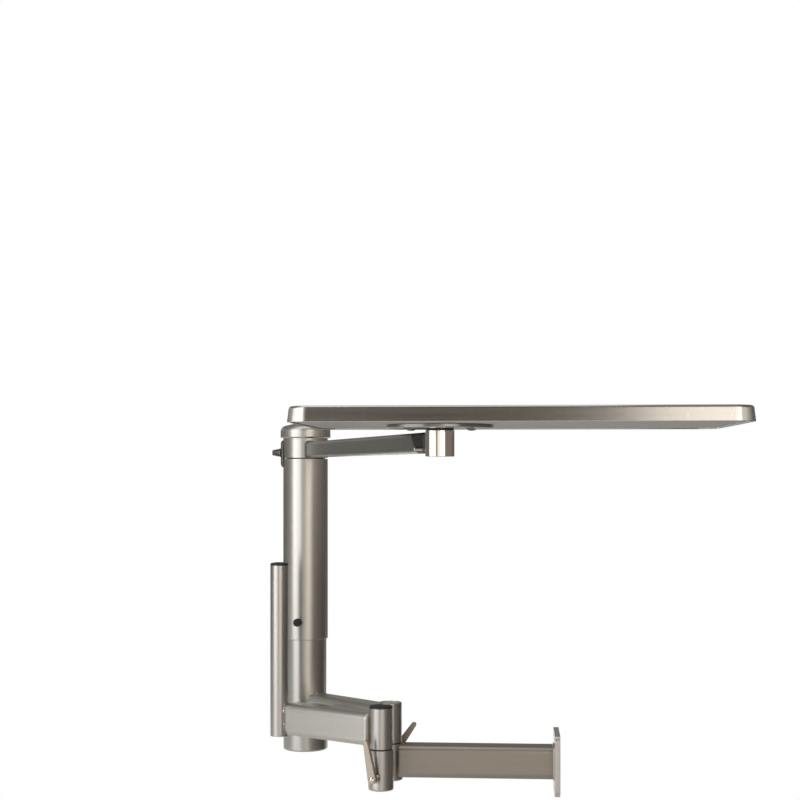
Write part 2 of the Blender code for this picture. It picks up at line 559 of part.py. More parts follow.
def build_column_sleeve(axis):
    """The column's outer tube with the spigot that the arm head turns on."""
    outer = tube("column_outer_tube", OUTER_RADIUS, OUTER_BORE, OUTER_BOTTOM, COLUMN_TOP, COLUMN_SEGMENTS,
                 BRUSHED_STEEL, axis)
    spigot_radius = OUTER_BORE - GAP
    bore = SPIGOT_BORE_DIAMETER / 2.0
    journal_top = JOURNAL_TOP - NUT_HEIGHT - GAP
    profile = [(JOURNAL_RADIUS, journal_top), (JOURNAL_RADIUS, COLUMN_TOP), (spigot_radius, COLUMN_TOP),
               (spigot_radius, COLUMN_TOP - SPIGOT_DEPTH), (bore, COLUMN_TOP - SPIGOT_DEPTH),
               (bore, journal_top)]
    turned("head_spigot", profile, COLUMN_SEGMENTS, DARK_STEEL, axis)
    low = COLUMN_TOP + GAP
    tube("head_thrust_washer", OUTER_RADIUS - WASHER_SETBACK, JOURNAL_RADIUS + GAP, low,
         low + WASHER_THICKNESS, COLUMN_SEGMENTS, BRONZE, axis)
    nut_low = JOURNAL_TOP - NUT_HEIGHT
    nut_rim = JOURNAL_RADIUS + NUT_OVERLAP
    nut_neck = bore - GAP
    nut = [(nut_rim, JOURNAL_TOP), (nut_rim, nut_low), (nut_neck, nut_low), (nut_neck, nut_low - NUT_HEIGHT),
           (bore / 2.0, nut_low - NUT_HEIGHT), (bore / 2.0, JOURNAL_TOP)]
    turned("head_retaining_nut", nut, BARREL_SEGMENTS, DARK_STEEL, axis)

    height = OUTER_BOTTOM + HEIGHT_KNOB_RISE
    clamp_axis = pivot("height_clamp_axis", (0, 0, height), HEIGHT_KNOB_BEARING, parent=axis)
    stud = HEIGHT_STUD_DIAMETER / 2.0
    boss_top = OUTER_RADIUS + GAP + HEIGHT_BOSS_HEIGHT
    hole = rod("height_stud_hole", stud + GAP, OUTER_BORE / 2.0, boss_top, SMALL_SEGMENTS, None,
               clamp_axis, ALONG_X)
    subtract(outer, hole)
    boss = tube("height_clamp_boss", HEIGHT_BOSS_DIAMETER / 2.0, stud + GAP, OUTER_BORE, boss_top,
                SMALL_SEGMENTS, BRUSHED_STEEL, clamp_axis, ALONG_X)
    cope = rod("height_boss_cope", OUTER_RADIUS + GAP, height - HEIGHT_BOSS_DIAMETER,
               height + HEIGHT_BOSS_DIAMETER, COLUMN_SEGMENTS, None, axis)
    subtract(boss, cope)

    knob_low = boss_top + GAP
    knob_high = knob_low + HEIGHT_KNOB_LENGTH
    radius = HEIGHT_KNOB_DIAMETER / 2.0
    edge = radius / 3.0
    socket = knob_low + HEIGHT_STUD_GRIP + GAP
    knob = [(0.0, knob_high), (radius - edge, knob_high), (radius, knob_high - edge), (radius, knob_low),
            (stud + GAP, knob_low), (stud + GAP, socket), (0.0, socket)]
    turned("height_knob", knob, SMALL_SEGMENTS, BLACK_PLASTIC, clamp_axis, ALONG_X)
    rod("height_stud", stud, INNER_RADIUS + GAP, knob_low + HEIGHT_STUD_GRIP, SMALL_SEGMENTS, DARK_STEEL,
        clamp_axis, ALONG_X)


def build_arm_head(axis, boss_axis, plunger_axis):
    """The collar, cap, top arm and boss, which turn together on the column."""
    collar = tube("head_collar", OUTER_RADIUS, COLLAR_BORE, COLLAR_BOTTOM, COLLAR_TOP, COLUMN_SEGMENTS,
                  BRUSHED_STEEL, axis)
    bush_top = JOURNAL_TOP - NUT_HEIGHT - GAP
    bush = tube("head_bush", HEAD_BUSH_OUTER, HEAD_BUSH_INNER, COLLAR_BOTTOM, bush_top, COLUMN_SEGMENTS,
                BRONZE, axis)

    rim = HEAD_CAP_DIAMETER / 2.0
    side_low = CAP_BOTTOM + HEAD_CAP_CHAMFER
    side_high = side_low + HEAD_CAP_SIDE
    top = side_high + HEAD_CAP_DOME
    flat = HEAD_CAP_FLAT_DIAMETER / 2.0
    shoulder = (rim + flat) / 2.0 + (rim - flat) / 4.0
    inside = COLLAR_BORE
    roof = top - HEAD_CAP_ROOF
    cap = [(0.0, top), (flat, top), (shoulder, top - HEAD_CAP_DOME / 2.0), (rim, side_high), (rim, side_low),
           (OUTER_RADIUS, CAP_BOTTOM), (inside, CAP_BOTTOM), (inside, roof), (0.0, roof)]
    turned("head_cap", cap, COLUMN_SEGMENTS, BRUSHED_STEEL, axis)

    build_top_arm(axis)
    build_boss(boss_axis)
    build_plunger(collar, bush, axis, plunger_axis)


def build_top_arm(axis):
    """The long arm tube with its slanted end, black end block, neck and cross pin."""
    def section(width, height, corner):
        return [(y, ARM_MIDDLE + z) for y, z in rounded_rectangle(width, height, corner)]

    outside = section(TOP_ARM_WIDTH, TOP_ARM_HEIGHT, TOP_ARM_CORNER)
    arm = prism("top_arm", outside, OUTER_RADIUS / 2.0, TOP_ARM_LENGTH, BRUSHED_STEEL, axis, "X")
    inner_width = TOP_ARM_WIDTH - 2.0 * TOP_ARM_WALL
    inner_height = TOP_ARM_HEIGHT - 2.0 * TOP_ARM_WALL
    inner_corner = TOP_ARM_CORNER - TOP_ARM_WALL
    hollow = section(inner_width, inner_height, inner_corner)
    cavity = prism("top_arm_cavity", hollow, 0.0, TOP_ARM_LENGTH + CUT_OVER, None, axis, "X")
    cope = rod("top_arm_cope", OUTER_RADIUS + GAP, ARM_BOTTOM - CUT_OVER, ARM_TOP + CUT_OVER,
               COLUMN_SEGMENTS, None, axis)

    def slanted_end(height):
        share = (height - ARM_BOTTOM) / TOP_ARM_HEIGHT
        return TOP_ARM_LENGTH - TOP_ARM_END_LOWER - share * (TOP_ARM_END_UPPER - TOP_ARM_END_LOWER)

    low = ARM_BOTTOM - TOP_ARM_HEIGHT
    high = ARM_TOP + TOP_ARM_HEIGHT
    far = TOP_ARM_LENGTH + TOP_ARM_HEIGHT
    slant = [(slanted_end(high), high), (slanted_end(low), low), (far, low), (far, high)]
    end_cut = prism("top_arm_end_cut", slant, -TOP_ARM_WIDTH, TOP_ARM_WIDTH, None, axis, "Y")
    subtract(arm, cavity, cope, end_cut)

    inside = section(inner_width - 2.0 * GAP, inner_height - 2.0 * GAP, inner_corner - GAP)
    face = TOP_ARM_LENGTH - BLOCK_FACE
    root = TOP_ARM_LENGTH - TOP_ARM_END_UPPER - BLOCK_GRIP
    block = lofted("arm_end_block", [[(root, y, z) for y, z in inside],
                                     [(slanted_end(z) + GAP, y, z) for y, z in inside],
                                     [(slanted_end(z) + GAP, y, z) for y, z in outside],
                                     [(face, y, z) for y, z in outside]], BLACK_PLASTIC, axis)

    neck_start = face + GAP
    tenon_end = neck_start - TENON_LENGTH
    tenon = section(TENON_WIDTH, TENON_HEIGHT, TENON_CORNER)
    neck_outline = section(TOP_ARM_WIDTH, NECK_HEIGHT, NECK_CORNER)
    neck = lofted("arm_neck", [[(tenon_end, y, z) for y, z in tenon], [(neck_start, y, z) for y, z in tenon],
                               [(neck_start, y, z) for y, z in neck_outline],
                               [(TOP_ARM_LENGTH, y, z) for y, z in neck_outline]], BRUSHED_STEEL, axis)
    boss_cope_axis = pivot("boss_cope_axis", (TOP_ARM_LENGTH, 0, 0), parent=axis)
    cope = rod("boss_cope", BOSS_RADIUS + GAP, BOSS_BOTTOM, BOSS_TOP, BARREL_SEGMENTS, None, boss_cope_axis)
    subtract(neck, cope)
    socket_outline = section(TENON_WIDTH + 2.0 * GAP, TENON_HEIGHT + 2.0 * GAP, TENON_CORNER + GAP)
    socket = prism("tenon_socket", socket_outline, tenon_end - GAP, face + CUT_OVER, None, axis, "X")

    pin_axis = pivot("neck_pin_axis", (TOP_ARM_LENGTH - NECK_PIN_STATION, 0, ARM_MIDDLE - NECK_PIN_DROP),
                     -math.pi / 2.0, parent=axis)
    pin = NECK_PIN_DIAMETER / 2.0
    rounding = pin / 2.0
    reach = TOP_ARM_WIDTH / 2.0 + NECK_PIN_PROUD
    pin_root = TOP_ARM_WIDTH / 2.0 - NECK_PIN_DEPTH
    profile = [(0.0, reach), (pin - rounding, reach), (pin, reach - rounding), (pin, pin_root), (0.0, pin_root)]
    turned("neck_pin", profile, SMALL_SEGMENTS, POLISHED_STEEL, pin_axis, ALONG_X)
    hole = rod("neck_pin_hole", pin + GAP, pin_root - GAP, reach, SMALL_SEGMENTS, None, pin_axis, ALONG_X)
    subtract(block, socket, hole)


def build_boss(axis):
    """The boss at the arm's end and the bush that the tray's spindle turns in."""
    bore = BOSS_BUSH_OUTER + GAP
    seat = RETAINER_DIAMETER / 2.0 + GAP
    step = TRAY_SPINDLE_BOTTOM
    profile = [(BOSS_RADIUS, BOSS_TOP), (BOSS_RADIUS, BOSS_BOTTOM), (seat, BOSS_BOTTOM), (seat, step),
               (bore, step), (bore, BOSS_TOP)]
    turned("tray_boss", profile, BARREL_SEGMENTS, POLISHED_STEEL, axis)
    tube("boss_bush", BOSS_BUSH_OUTER, BOSS_BUSH_INNER, step, BOSS_TOP, BARREL_SEGMENTS, BRONZE, axis)


def build_plunger(collar, bush, axis, plunger_axis):
    """The index plunger: a pad on the collar, a sprung pin and the knob that pulls it."""
    outline = rounded_rectangle(PAD_WIDTH, PAD_RISE + PAD_FALL, PAD_CORNER)
    shift = (PAD_RISE - PAD_FALL) / 2.0
    outline = [(y, z + shift) for y, z in outline]
    pad = prism("plunger_pad", outline, OUTER_RADIUS / 2.0, PAD_OUTER, BRUSHED_STEEL, plunger_axis, "X")
    cope_low = PLUNGER_HEIGHT - PAD_FALL - CUT_OVER
    cope_high = PLUNGER_HEIGHT + PAD_RISE + CUT_OVER
    cope = rod("pad_cope", PAD_INNER, cope_low, cope_high, COLUMN_SEGMENTS, None, axis)
    pin_hole = rod("plunger_pin_hole", PLUNGER_PIN_RADIUS + GAP, JOURNAL_RADIUS / 2.0, PAD_OUTER + CUT_OVER,
                   SMALL_SEGMENTS, None, plunger_axis, ALONG_X)
    subtract(pad, cope, pin_hole)
    subtract(collar, pin_hole)
    subtract(bush, pin_hole)

    knob_low = PAD_OUTER + GAP
    knob_high = knob_low + PLUNGER_KNOB_LENGTH
    root = PLUNGER_KNOB_ROOT_DIAMETER / 2.0
    waist = PLUNGER_KNOB_WAIST_DIAMETER / 2.0
    tip = PLUNGER_KNOB_TIP_DIAMETER / 2.0
    socket = knob_low + PLUNGER_PIN_GRIP + GAP
    bore = PLUNGER_PIN_RADIUS + GAP
    knob = [(0.0, knob_high), (tip - PLUNGER_KNOB_ROUND, knob_high), (tip, knob_high - PLUNGER_KNOB_ROUND),
            (waist, knob_low + PLUNGER_KNOB_LENGTH / 3.0), (root, knob_low), (bore, knob_low),
            (bore, socket), (0.0, socket)]
    turned("plunger_knob", knob, SMALL_SEGMENTS, DARK_STEEL, plunger_axis, ALONG_X)
    rod("plunger_pin", PLUNGER_PIN_RADIUS, JOURNAL_RADIUS + 2.0 * GAP, knob_low + PLUNGER_PIN_GRIP,
        SMALL_SEGMENTS, POLISHED_STEEL, plunger_axis, ALONG_X)


def build_tray(axis):
    """The tray, its mounting disc and the spindle that turns in the boss."""
    centre = pivot("tray_centre", (TRAY_OFFSET, 0, 0), parent=axis)

    def loop(inset, height):
        outline = rounded_rectangle(TRAY_LENGTH - 2.0 * inset, TRAY_WIDTH - 2.0 * inset, TRAY_CORNER - inset)
        return [(x, y, height) for x, y in outline]

    outer_arc = [(LIP_FLARE + TRAY_EDGE * (1.0 - math.sin(a)), TRAY_TOP - TRAY_EDGE * (1.0 - math.cos(a)))
                 for a in (0.0, math.pi / 6.0, math.pi / 3.0, math.pi / 2.0)]
    edge = TRAY_EDGE - TRAY_SHEET
    inner_arc = [(LIP_FLARE + TRAY_SHEET + edge * (1.0 - math.sin(a)),
                  TRAY_TOP - TRAY_SHEET - edge * (1.0 - math.cos(a)))
                 for a in (math.pi / 2.0, math.pi / 4.0, 0.0)]
    section = outer_arc + [(0.0, TRAY_BOTTOM), (TRAY_SHEET, TRAY_BOTTOM)] + inner_arc
    lofted("tray_pan", [loop(inset, height) for inset, height in section], BRUSHED_STEEL, centre)

    fit = LIP_FLARE + TRAY_SHEET + GAP
    under = lofted("tray_underside",
                   [loop(fit, UNDERSIDE_BOTTOM), loop(fit, UNDERSIDE_BOTTOM + UNDERSIDE_THICKNESS)],
                   BRUSHED_STEEL, centre)
    core_fit = fit + edge
    core = lofted("tray_core", [loop(core_fit, CORE_BOTTOM), loop(core_fit, CORE_TOP)], CORE_BOARD, centre)

    pocket_outline = rounded_rectangle(BACKING_SIZE + 2.0 * GAP, BACKING_SIZE + 2.0 * GAP, TRAY_EDGE)
    backing_top = CORE_BOTTOM + BACKING_THICKNESS
    pocket = prism("backing_pocket", pocket_outline, CORE_BOTTOM - CUT_OVER, backing_top + GAP, None, axis)
    subtract(core, pocket)
    backing_outline = rounded_rectangle(BACKING_SIZE, BACKING_SIZE, TRAY_EDGE)
    backing = prism("tray_backing_plate", backing_outline, CORE_BOTTOM, backing_top, DARK_STEEL, axis)

    radius = DISC_DIAMETER / 2.0
    bore = TRAY_SPINDLE_RADIUS + GAP
    disc_profile = [(radius, DISC_TOP), (radius, DISC_BOTTOM + DISC_EDGE), (radius - DISC_EDGE, DISC_BOTTOM),
                    (bore, DISC_BOTTOM), (bore, DISC_TOP)]
    disc = turned("mounting_disc", disc_profile, COLUMN_SEGMENTS, POLISHED_STEEL, axis)
    rod("tray_spindle", TRAY_SPINDLE_RADIUS, TRAY_SPINDLE_BOTTOM, DISC_TOP, BARREL_SEGMENTS, DARK_STEEL, axis)
    tube("tray_washer", BOSS_RADIUS - WASHER_SETBACK / 2.0, BOSS_BUSH_INNER, TRAY_WASHER_BOTTOM,
         TRAY_WASHER_BOTTOM + TRAY_WASHER_THICKNESS, BARREL_SEGMENTS, BLACK_PLASTIC, axis)
    rod("spindle_retainer", RETAINER_DIAMETER / 2.0, RETAINER_BOTTOM, RETAINER_BOTTOM + RETAINER_THICKNESS,
        BARREL_SEGMENTS, DARK_STEEL, axis)

    head_low = DISC_BOTTOM - GAP - SCREW_HEAD_HEIGHT
    shank = SCREW_DIAMETER / 2.0
    head = SCREW_HEAD_DIAMETER / 2.0
    shank_top = CORE_BOTTOM + SCREW_GRIP
    profile = [(0.0, shank_top), (shank, shank_top), (shank, DISC_BOTTOM - GAP), (head, DISC_BOTTOM - GAP),
               (head, DISC_BOTTOM - GAP - SCREW_HEAD_HEIGHT / 3.0), (SCREW_CROWN_DIAMETER / 2.0, head_low),
               (0.0, head_low)]
    hole_profile = [(0.0, shank_top + GAP), (shank + GAP, shank_top + GAP),
                    (shank + GAP, DISC_BOTTOM - CUT_OVER), (0.0, DISC_BOTTOM - CUT_OVER)]
    for index in range(SCREW_COUNT):
        angle = (index + 0.5) * 2.0 * math.pi / SCREW_COUNT
        reach = SCREW_CIRCLE_DIAMETER / 2.0
        screw_axis = pivot("disc_screw_%d_axis" % (index + 1),
                           (reach * math.cos(angle), reach * math.sin(angle), 0.0), parent=axis)
        turned("disc_screw_%d" % (index + 1), profile, SMALL_SEGMENTS, DARK_STEEL, screw_axis)
        hole = turned("disc_screw_hole_%d" % (index + 1), hole_profile, SMALL_SEGMENTS, None, screw_axis)
        for plate in (disc, under, backing):
            subtract(plate, hole)


def build_lever(side, axis):
    """A clamp lever on its stud; the stud runs along the axis, out of the barrel."""
    hub = LEVER_HUB_DIAMETER / 2.0
    tip = LEVER_TIP_DIAMETER / 2.0
    span = LEVER_LENGTH - tip
    tangent = math.asin((hub - tip) / span)
    outline = []
    for step in range(LEVER_STEPS + 1):
        angle = tangent + (math.pi - 2.0 * tangent) * step / LEVER_STEPS
        outline.append((tip * math.cos(angle), span + tip * math.sin(angle)))
    for step in range(LEVER_STEPS + 1):
        angle = math.pi - tangent + (math.pi + 2.0 * tangent) * step / LEVER_STEPS
        outline.append((hub * math.cos(angle), hub * math.sin(angle)))
    outer_face = LEVER_STANDOFF + LEVER_THICKNESS
    handle = prism(side + "_lever_handle", outline, LEVER_STANDOFF, outer_face, BRUSHED_STEEL, axis, "X")
    hole = rod(side + "_lever_hole", STUD_RADIUS + GAP, LEVER_STANDOFF - CUT_OVER, outer_face + CUT_OVER,
               SMALL_SEGMENTS, None, axis, ALONG_X)
    subtract(handle, hole)
    seat = LOWER_BARREL_RADIUS - SPOT_FACE_DEPTH + GAP
    collar_top = LEVER_STANDOFF - GAP
    head_low = outer_face + GAP
    head = STUD_HEAD_DIAMETER / 2.0
    head_high = head_low + STUD_HEAD_HEIGHT
    crown = STUD_CROWN_DIAMETER / 2.0
    stud = [(0.0, head_high), (crown, head_high), (head, head_low + STUD_HEAD_HEIGHT / 3.0), (head, head_low),
            (STUD_RADIUS, head_low), (STUD_RADIUS, collar_top), (hub, collar_top), (hub, seat),
            (STUD_RADIUS, seat), (STUD_RADIUS, LOWER_BORE + GAP), (0.0, LOWER_BORE + GAP)]
    turned(side + "_lever_stud", stud, SMALL_SEGMENTS, POLISHED_STEEL, axis, ALONG_X)


def main():
    """Clear the scene and build every piece."""
    for obj in list(bpy.data.objects):
        bpy.data.objects.remove(obj, do_unlink=True)

    rear_point = Vector((-BASE_ARM_REACH, 0.0, 0.0))
    front_point = rear_point + PIVOT_SPACING * Vector((math.cos(PIVOT_BEARING), math.sin(PIVOT_BEARING), 0.0))

    rear_base = pivot("rear_base_axis", rear_point)
    front_base = pivot("front_base_axis", front_point)
    build_base(rear_base, front_base)

    table_axis = pivot("table_arm_axis", rear_point, REAR_ARM_BEARING)
    column_axis = pivot("column_axis", (REAR_ARM_LENGTH, 0, 0), -REAR_ARM_BEARING, parent=table_axis)
    build_table_arm(table_axis, column_axis)

    accessory_axis = pivot("accessory_arm_axis", front_point, FRONT_ARM_BEARING)
    post_axis = pivot("post_axis", (FRONT_ARM_LENGTH, POST_OFFSET, 0), parent=accessory_axis)
    build_accessory_arm(accessory_axis, post_axis)

    build_column_sleeve(column_axis)

    head_axis = pivot("arm_head_axis", (0, 0, 0), TOP_ARM_BEARING, parent=column_axis)
    tray_axis = pivot("tray_axis", (TOP_ARM_LENGTH, 0, 0), -TOP_ARM_BEARING, parent=head_axis)
    plunger_axis = pivot("plunger_axis", (0, 0, PLUNGER_HEIGHT), PLUNGER_BEARING - TOP_ARM_BEARING,
                         parent=head_axis)
    build_arm_head(head_axis, tray_axis, plunger_axis)
    build_tray(tray_axis)

    rear_lever = pivot("rear_lever_axis", (0, 0, REAR_LEVER_HEIGHT), REAR_LEVER_BEARING, REAR_LEVER_LEAN,
                       rear_base)
    build_lever("rear", rear_lever)
    front_lever = pivot("front_lever_axis", (0, 0, FRONT_LEVER_HEIGHT), FRONT_LEVER_BEARING,
                        FRONT_LEVER_LEAN, front_base)
    build_lever("front", front_lever)
    bpy.context.view_layer.update()


main()
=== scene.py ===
"""Looks for the instrument table: brushed stainless pieces, black mouldings and a plain studio stage.

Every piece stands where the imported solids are, in metres. Bearings are plan angles from +X.
"""

import json
import math

import bmesh
import bpy
from bpy.props import FloatProperty, IntProperty, PointerProperty, StringProperty
from mathutils import Matrix, Vector


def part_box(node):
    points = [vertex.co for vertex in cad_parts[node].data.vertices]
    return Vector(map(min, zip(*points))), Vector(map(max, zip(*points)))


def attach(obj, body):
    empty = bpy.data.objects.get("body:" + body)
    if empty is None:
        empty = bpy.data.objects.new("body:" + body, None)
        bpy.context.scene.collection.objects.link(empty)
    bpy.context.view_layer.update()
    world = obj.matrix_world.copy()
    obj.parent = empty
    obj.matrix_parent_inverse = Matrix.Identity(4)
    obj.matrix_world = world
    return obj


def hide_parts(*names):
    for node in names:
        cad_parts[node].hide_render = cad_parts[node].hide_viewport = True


bl_info = {
    "name": "Instrument table",
    "version": (1, 0, 0),
    "blender": (4, 5, 0),
    "location": "View3D > Sidebar > Table",
    "description": "Dresses the packed instrument table in brushed steel and black mouldings",
    "category": "Object",
}

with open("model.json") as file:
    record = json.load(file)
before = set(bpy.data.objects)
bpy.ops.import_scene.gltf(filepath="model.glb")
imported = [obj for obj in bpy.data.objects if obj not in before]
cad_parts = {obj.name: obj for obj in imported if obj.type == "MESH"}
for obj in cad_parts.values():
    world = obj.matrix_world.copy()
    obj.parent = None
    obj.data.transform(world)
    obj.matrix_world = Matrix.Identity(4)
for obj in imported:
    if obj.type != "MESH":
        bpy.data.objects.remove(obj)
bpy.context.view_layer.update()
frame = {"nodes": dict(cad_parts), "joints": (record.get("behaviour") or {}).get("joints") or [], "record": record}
BODIES = frame["record"]["behaviour"]["bodies"]
BODY_OF = {node: body for body, nodes in BODIES.items() for node in nodes}
SLOT_OF = {entry["node"]: entry["material_slot"] for entry in frame["record"]["subparts"]}
JOINTS = {joint["name"]: joint for joint in frame["joints"]}

MM = 0.001
FULL_TURN = 2.0 * math.pi
QUARTER_TURN = math.pi / 2.0

REAR_PIVOT = Vector(JOINTS["table_arm_swing"]["pos_m"])
FRONT_PIVOT = Vector(JOINTS["accessory_arm_swing"]["pos_m"])
COLUMN = Vector(JOINTS["arm_swivel"]["pos_m"])
BOSS = Vector(JOINTS["tray_swivel"]["pos_m"])
REAR_BEARING = math.atan2(COLUMN.y - REAR_PIVOT.y, COLUMN.x - REAR_PIVOT.x)
REAR_REACH = math.hypot(COLUMN.x - REAR_PIVOT.x, COLUMN.y - REAR_PIVOT.y)
ARM_BEARING = math.atan2(BOSS.y - COLUMN.y, BOSS.x - COLUMN.x)
ARM_LENGTH = math.hypot(BOSS.x - COLUMN.x, BOSS.y - COLUMN.y)

# Clearance between pieces that fit together, and the roundings that many edges share.
GAP = 0.3 * MM
FAINT_EDGE = 0.1 * MM
SLIGHT_EDGE = 0.2 * MM
FINE_EDGE = 0.3 * MM
SMALL_EDGE = 0.4 * MM
SOFT_EDGE = 0.5 * MM
EDGE_STEPS = 6
COARSE_STEPS = 4
SHARP_ANGLE = math.radians(38.0)
SPINDLE_HOLE = 10.4 * MM


class TableSizes(bpy.types.PropertyGroup):
    """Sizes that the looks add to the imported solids."""

    round_segments: IntProperty(
        name="Round segments", description="Sides of a large round piece", default=128, min=24)
    small_segments: IntProperty(
        name="Small segments", description="Sides of a small round piece", default=48, min=12)
    corner_steps: IntProperty(
        name="Corner steps", description="Facets in a rounded corner", default=10, min=3)
    edge_break: FloatProperty(
        name="Edge break", description="Rounding of a cut steel edge", default=0.6 * MM, unit="LENGTH")
    front_bearing: FloatProperty(
        name="Front bar bearing", description="Plan angle of the front bar", default=math.radians(147.1),
        subtype="ANGLE")
    bar_height: FloatProperty(
        name="Bar height", description="Height of the bars", default=48 * MM, unit="LENGTH")
    bar_width: FloatProperty(
        name="Bar width", description="Width of the bars", default=40 * MM, unit="LENGTH")
    bar_corner: FloatProperty(
        name="Bar corner", description="Corner radius of the bars", default=9 * MM, unit="LENGTH")
    bar_start: FloatProperty(
        name="Bar start", description="Pivot axis to the end of a bar", default=12 * MM, unit="LENGTH")
    bar_end_round: FloatProperty(
        name="Bar end rounding", description="Rounding of a bar's closed end", default=3 * MM, unit="LENGTH")
    arm_width: FloatProperty(
        name="Arm width", description="Width of the top arm", default=15 * MM, unit="LENGTH")
    arm_corner: FloatProperty(
        name="Arm corner", description="Corner radius of the top arm", default=5 * MM, unit="LENGTH")
    tray_corner: FloatProperty(
        name="Tray corner", description="Plan radius of the tray's corners", default=24 * MM, unit="LENGTH")
    tray_edge: FloatProperty(
        name="Tray edge", description="Rounding of the tray's upper edge", default=3.5 * MM, unit="LENGTH")
    lip_flare: FloatProperty(
        name="Lip flare", description="How far the lip leans out", default=1.6 * MM, unit="LENGTH")
    weld_size: FloatProperty(
        name="Weld size", description="Half width of a weld bead", default=1.5 * MM, unit="LENGTH")
    lever_length: FloatProperty(
        name="Lever length", description="Stud axis to the lever's tip", default=56.5 * MM, unit="LENGTH")


class TableFinishes(bpy.types.PropertyGroup):
    """Colours and surface sizes of the finishes."""

    steel: StringProperty(
        name="Satin steel", description="Colour of brushed stainless steel", default="B3B0AB")
    # Painted light: the bars and plates get a paler steel than the rest, as if more light fell on them.
    lit_bar_steel: StringProperty(
        name="Bar steel", description="Colour of the brushed bars and plates", default="C0BDB7")
    bright_steel: StringProperty(
        name="Bright steel", description="Colour of turned stainless steel", default="CFCAC2")
    cast_steel: StringProperty(
        name="Cast steel", description="Colour of the cast lever handles", default="AAA094")
    mill_steel: StringProperty(
        name="Mill steel", description="Colour of unbrushed stainless sheet", default="97948F")
    # Painted shade: the top arm gets a darker steel than the rest.
    shaded_arm_steel: StringProperty(
        name="Dull steel", description="Colour of the top arm's steel", default="8E8B85")
    # Painted shade: the base arm's steel is darkened and warmed as if it stood in shadow.
    shaded_base_steel: StringProperty(
        name="Base steel", description="Colour of the base arm's steel", default="968F86")
    dark_steel: StringProperty(
        name="Dark steel", description="Colour of machined inner steel", default="6B6762")
    bronze: StringProperty(
        name="Bronze", description="Colour of the bushes", default="9A7B4F")
    # Painted shade: this bronze is made dark so that the joint line under the head's cap reads as shade.
    shade_bronze: StringProperty(
        name="Oiled bronze", description="Colour of bronze dark with oil", default="3B3833")
    black: StringProperty(
        name="Black moulding", description="Colour of the black plastic", default="141416")
    board: StringProperty(
        name="Core board", description="Colour of the tray's core", default="8A6F50")
    floor: StringProperty(
        name="Floor", description="Colour of the floor", default="E6E4E0")
    grain: FloatProperty(
        name="Grain spacing", description="Distance between brush lines in mm", default=0.9, min=0.05)
    satin: FloatProperty(
        name="Satin roughness", description="Roughness of brushed steel", default=0.36, min=0.02, max=1.0)
    sheet: FloatProperty(
        name="Sheet roughness", description="Roughness of the tray's brushed sheet", default=0.20, min=0.02,
        max=1.0)
    rubbed: FloatProperty(
        name="Rubbed roughness", description="Roughness of the tray's working face", default=0.42, min=0.02,
        max=1.0)
    turned: FloatProperty(
        name="Turned roughness", description="Roughness of turned steel", default=0.17, min=0.02, max=1.0)
    mirror: FloatProperty(
        name="Buffed roughness", description="Roughness of buffed steel", default=0.09, min=0.02, max=1.0)
    cast: FloatProperty(
        name="Cast roughness", description="Roughness of tumbled castings", default=0.46, min=0.02, max=1.0)


def sizes():
    """The scene's sizes."""
    return bpy.context.scene.table_sizes


def finishes():
    """The scene's finishes."""
    return bpy.context.scene.table_finishes


def linear_colour(hex_colour):
    """Turn an sRGB hex colour into linear values with alpha."""
    channels = [int(hex_colour[i:i + 2], 16) / 255.0 for i in (0, 2, 4)]
    return [c / 12.92 if c <= 0.04045 else ((c + 0.055) / 1.055) ** 2.4 for c in channels] + [1.0]


def shaded(colour, factor, lift=0.0):
    """A linear colour made darker or lighter."""
    return [min(c * factor + lift, 1.0) for c in colour[:3]] + [1.0]


def add_node(tree, kind, inputs=None, **settings):
    """Add a node, set its properties, then fill its inputs or link them."""
    node = tree.nodes.new(kind)
    for key, value in settings.items():
        setattr(node, key, value)
    for socket, value in (inputs or {}).items():
        if isinstance(value, bpy.types.NodeSocket):
            tree.links.new(value, node.inputs[socket])
        else:
            node.inputs[socket].default_value = value
    return node


def empty_material(name):
    """A material and its empty tree."""
    material = bpy.data.materials.new(name)
    material.use_nodes = True
    material.node_tree.nodes.clear()
    return material, material.node_tree


def once(name, build, **details):
    """The material of that name, built when it is first asked for."""
    return bpy.data.materials.get(name) or build(name, **details)


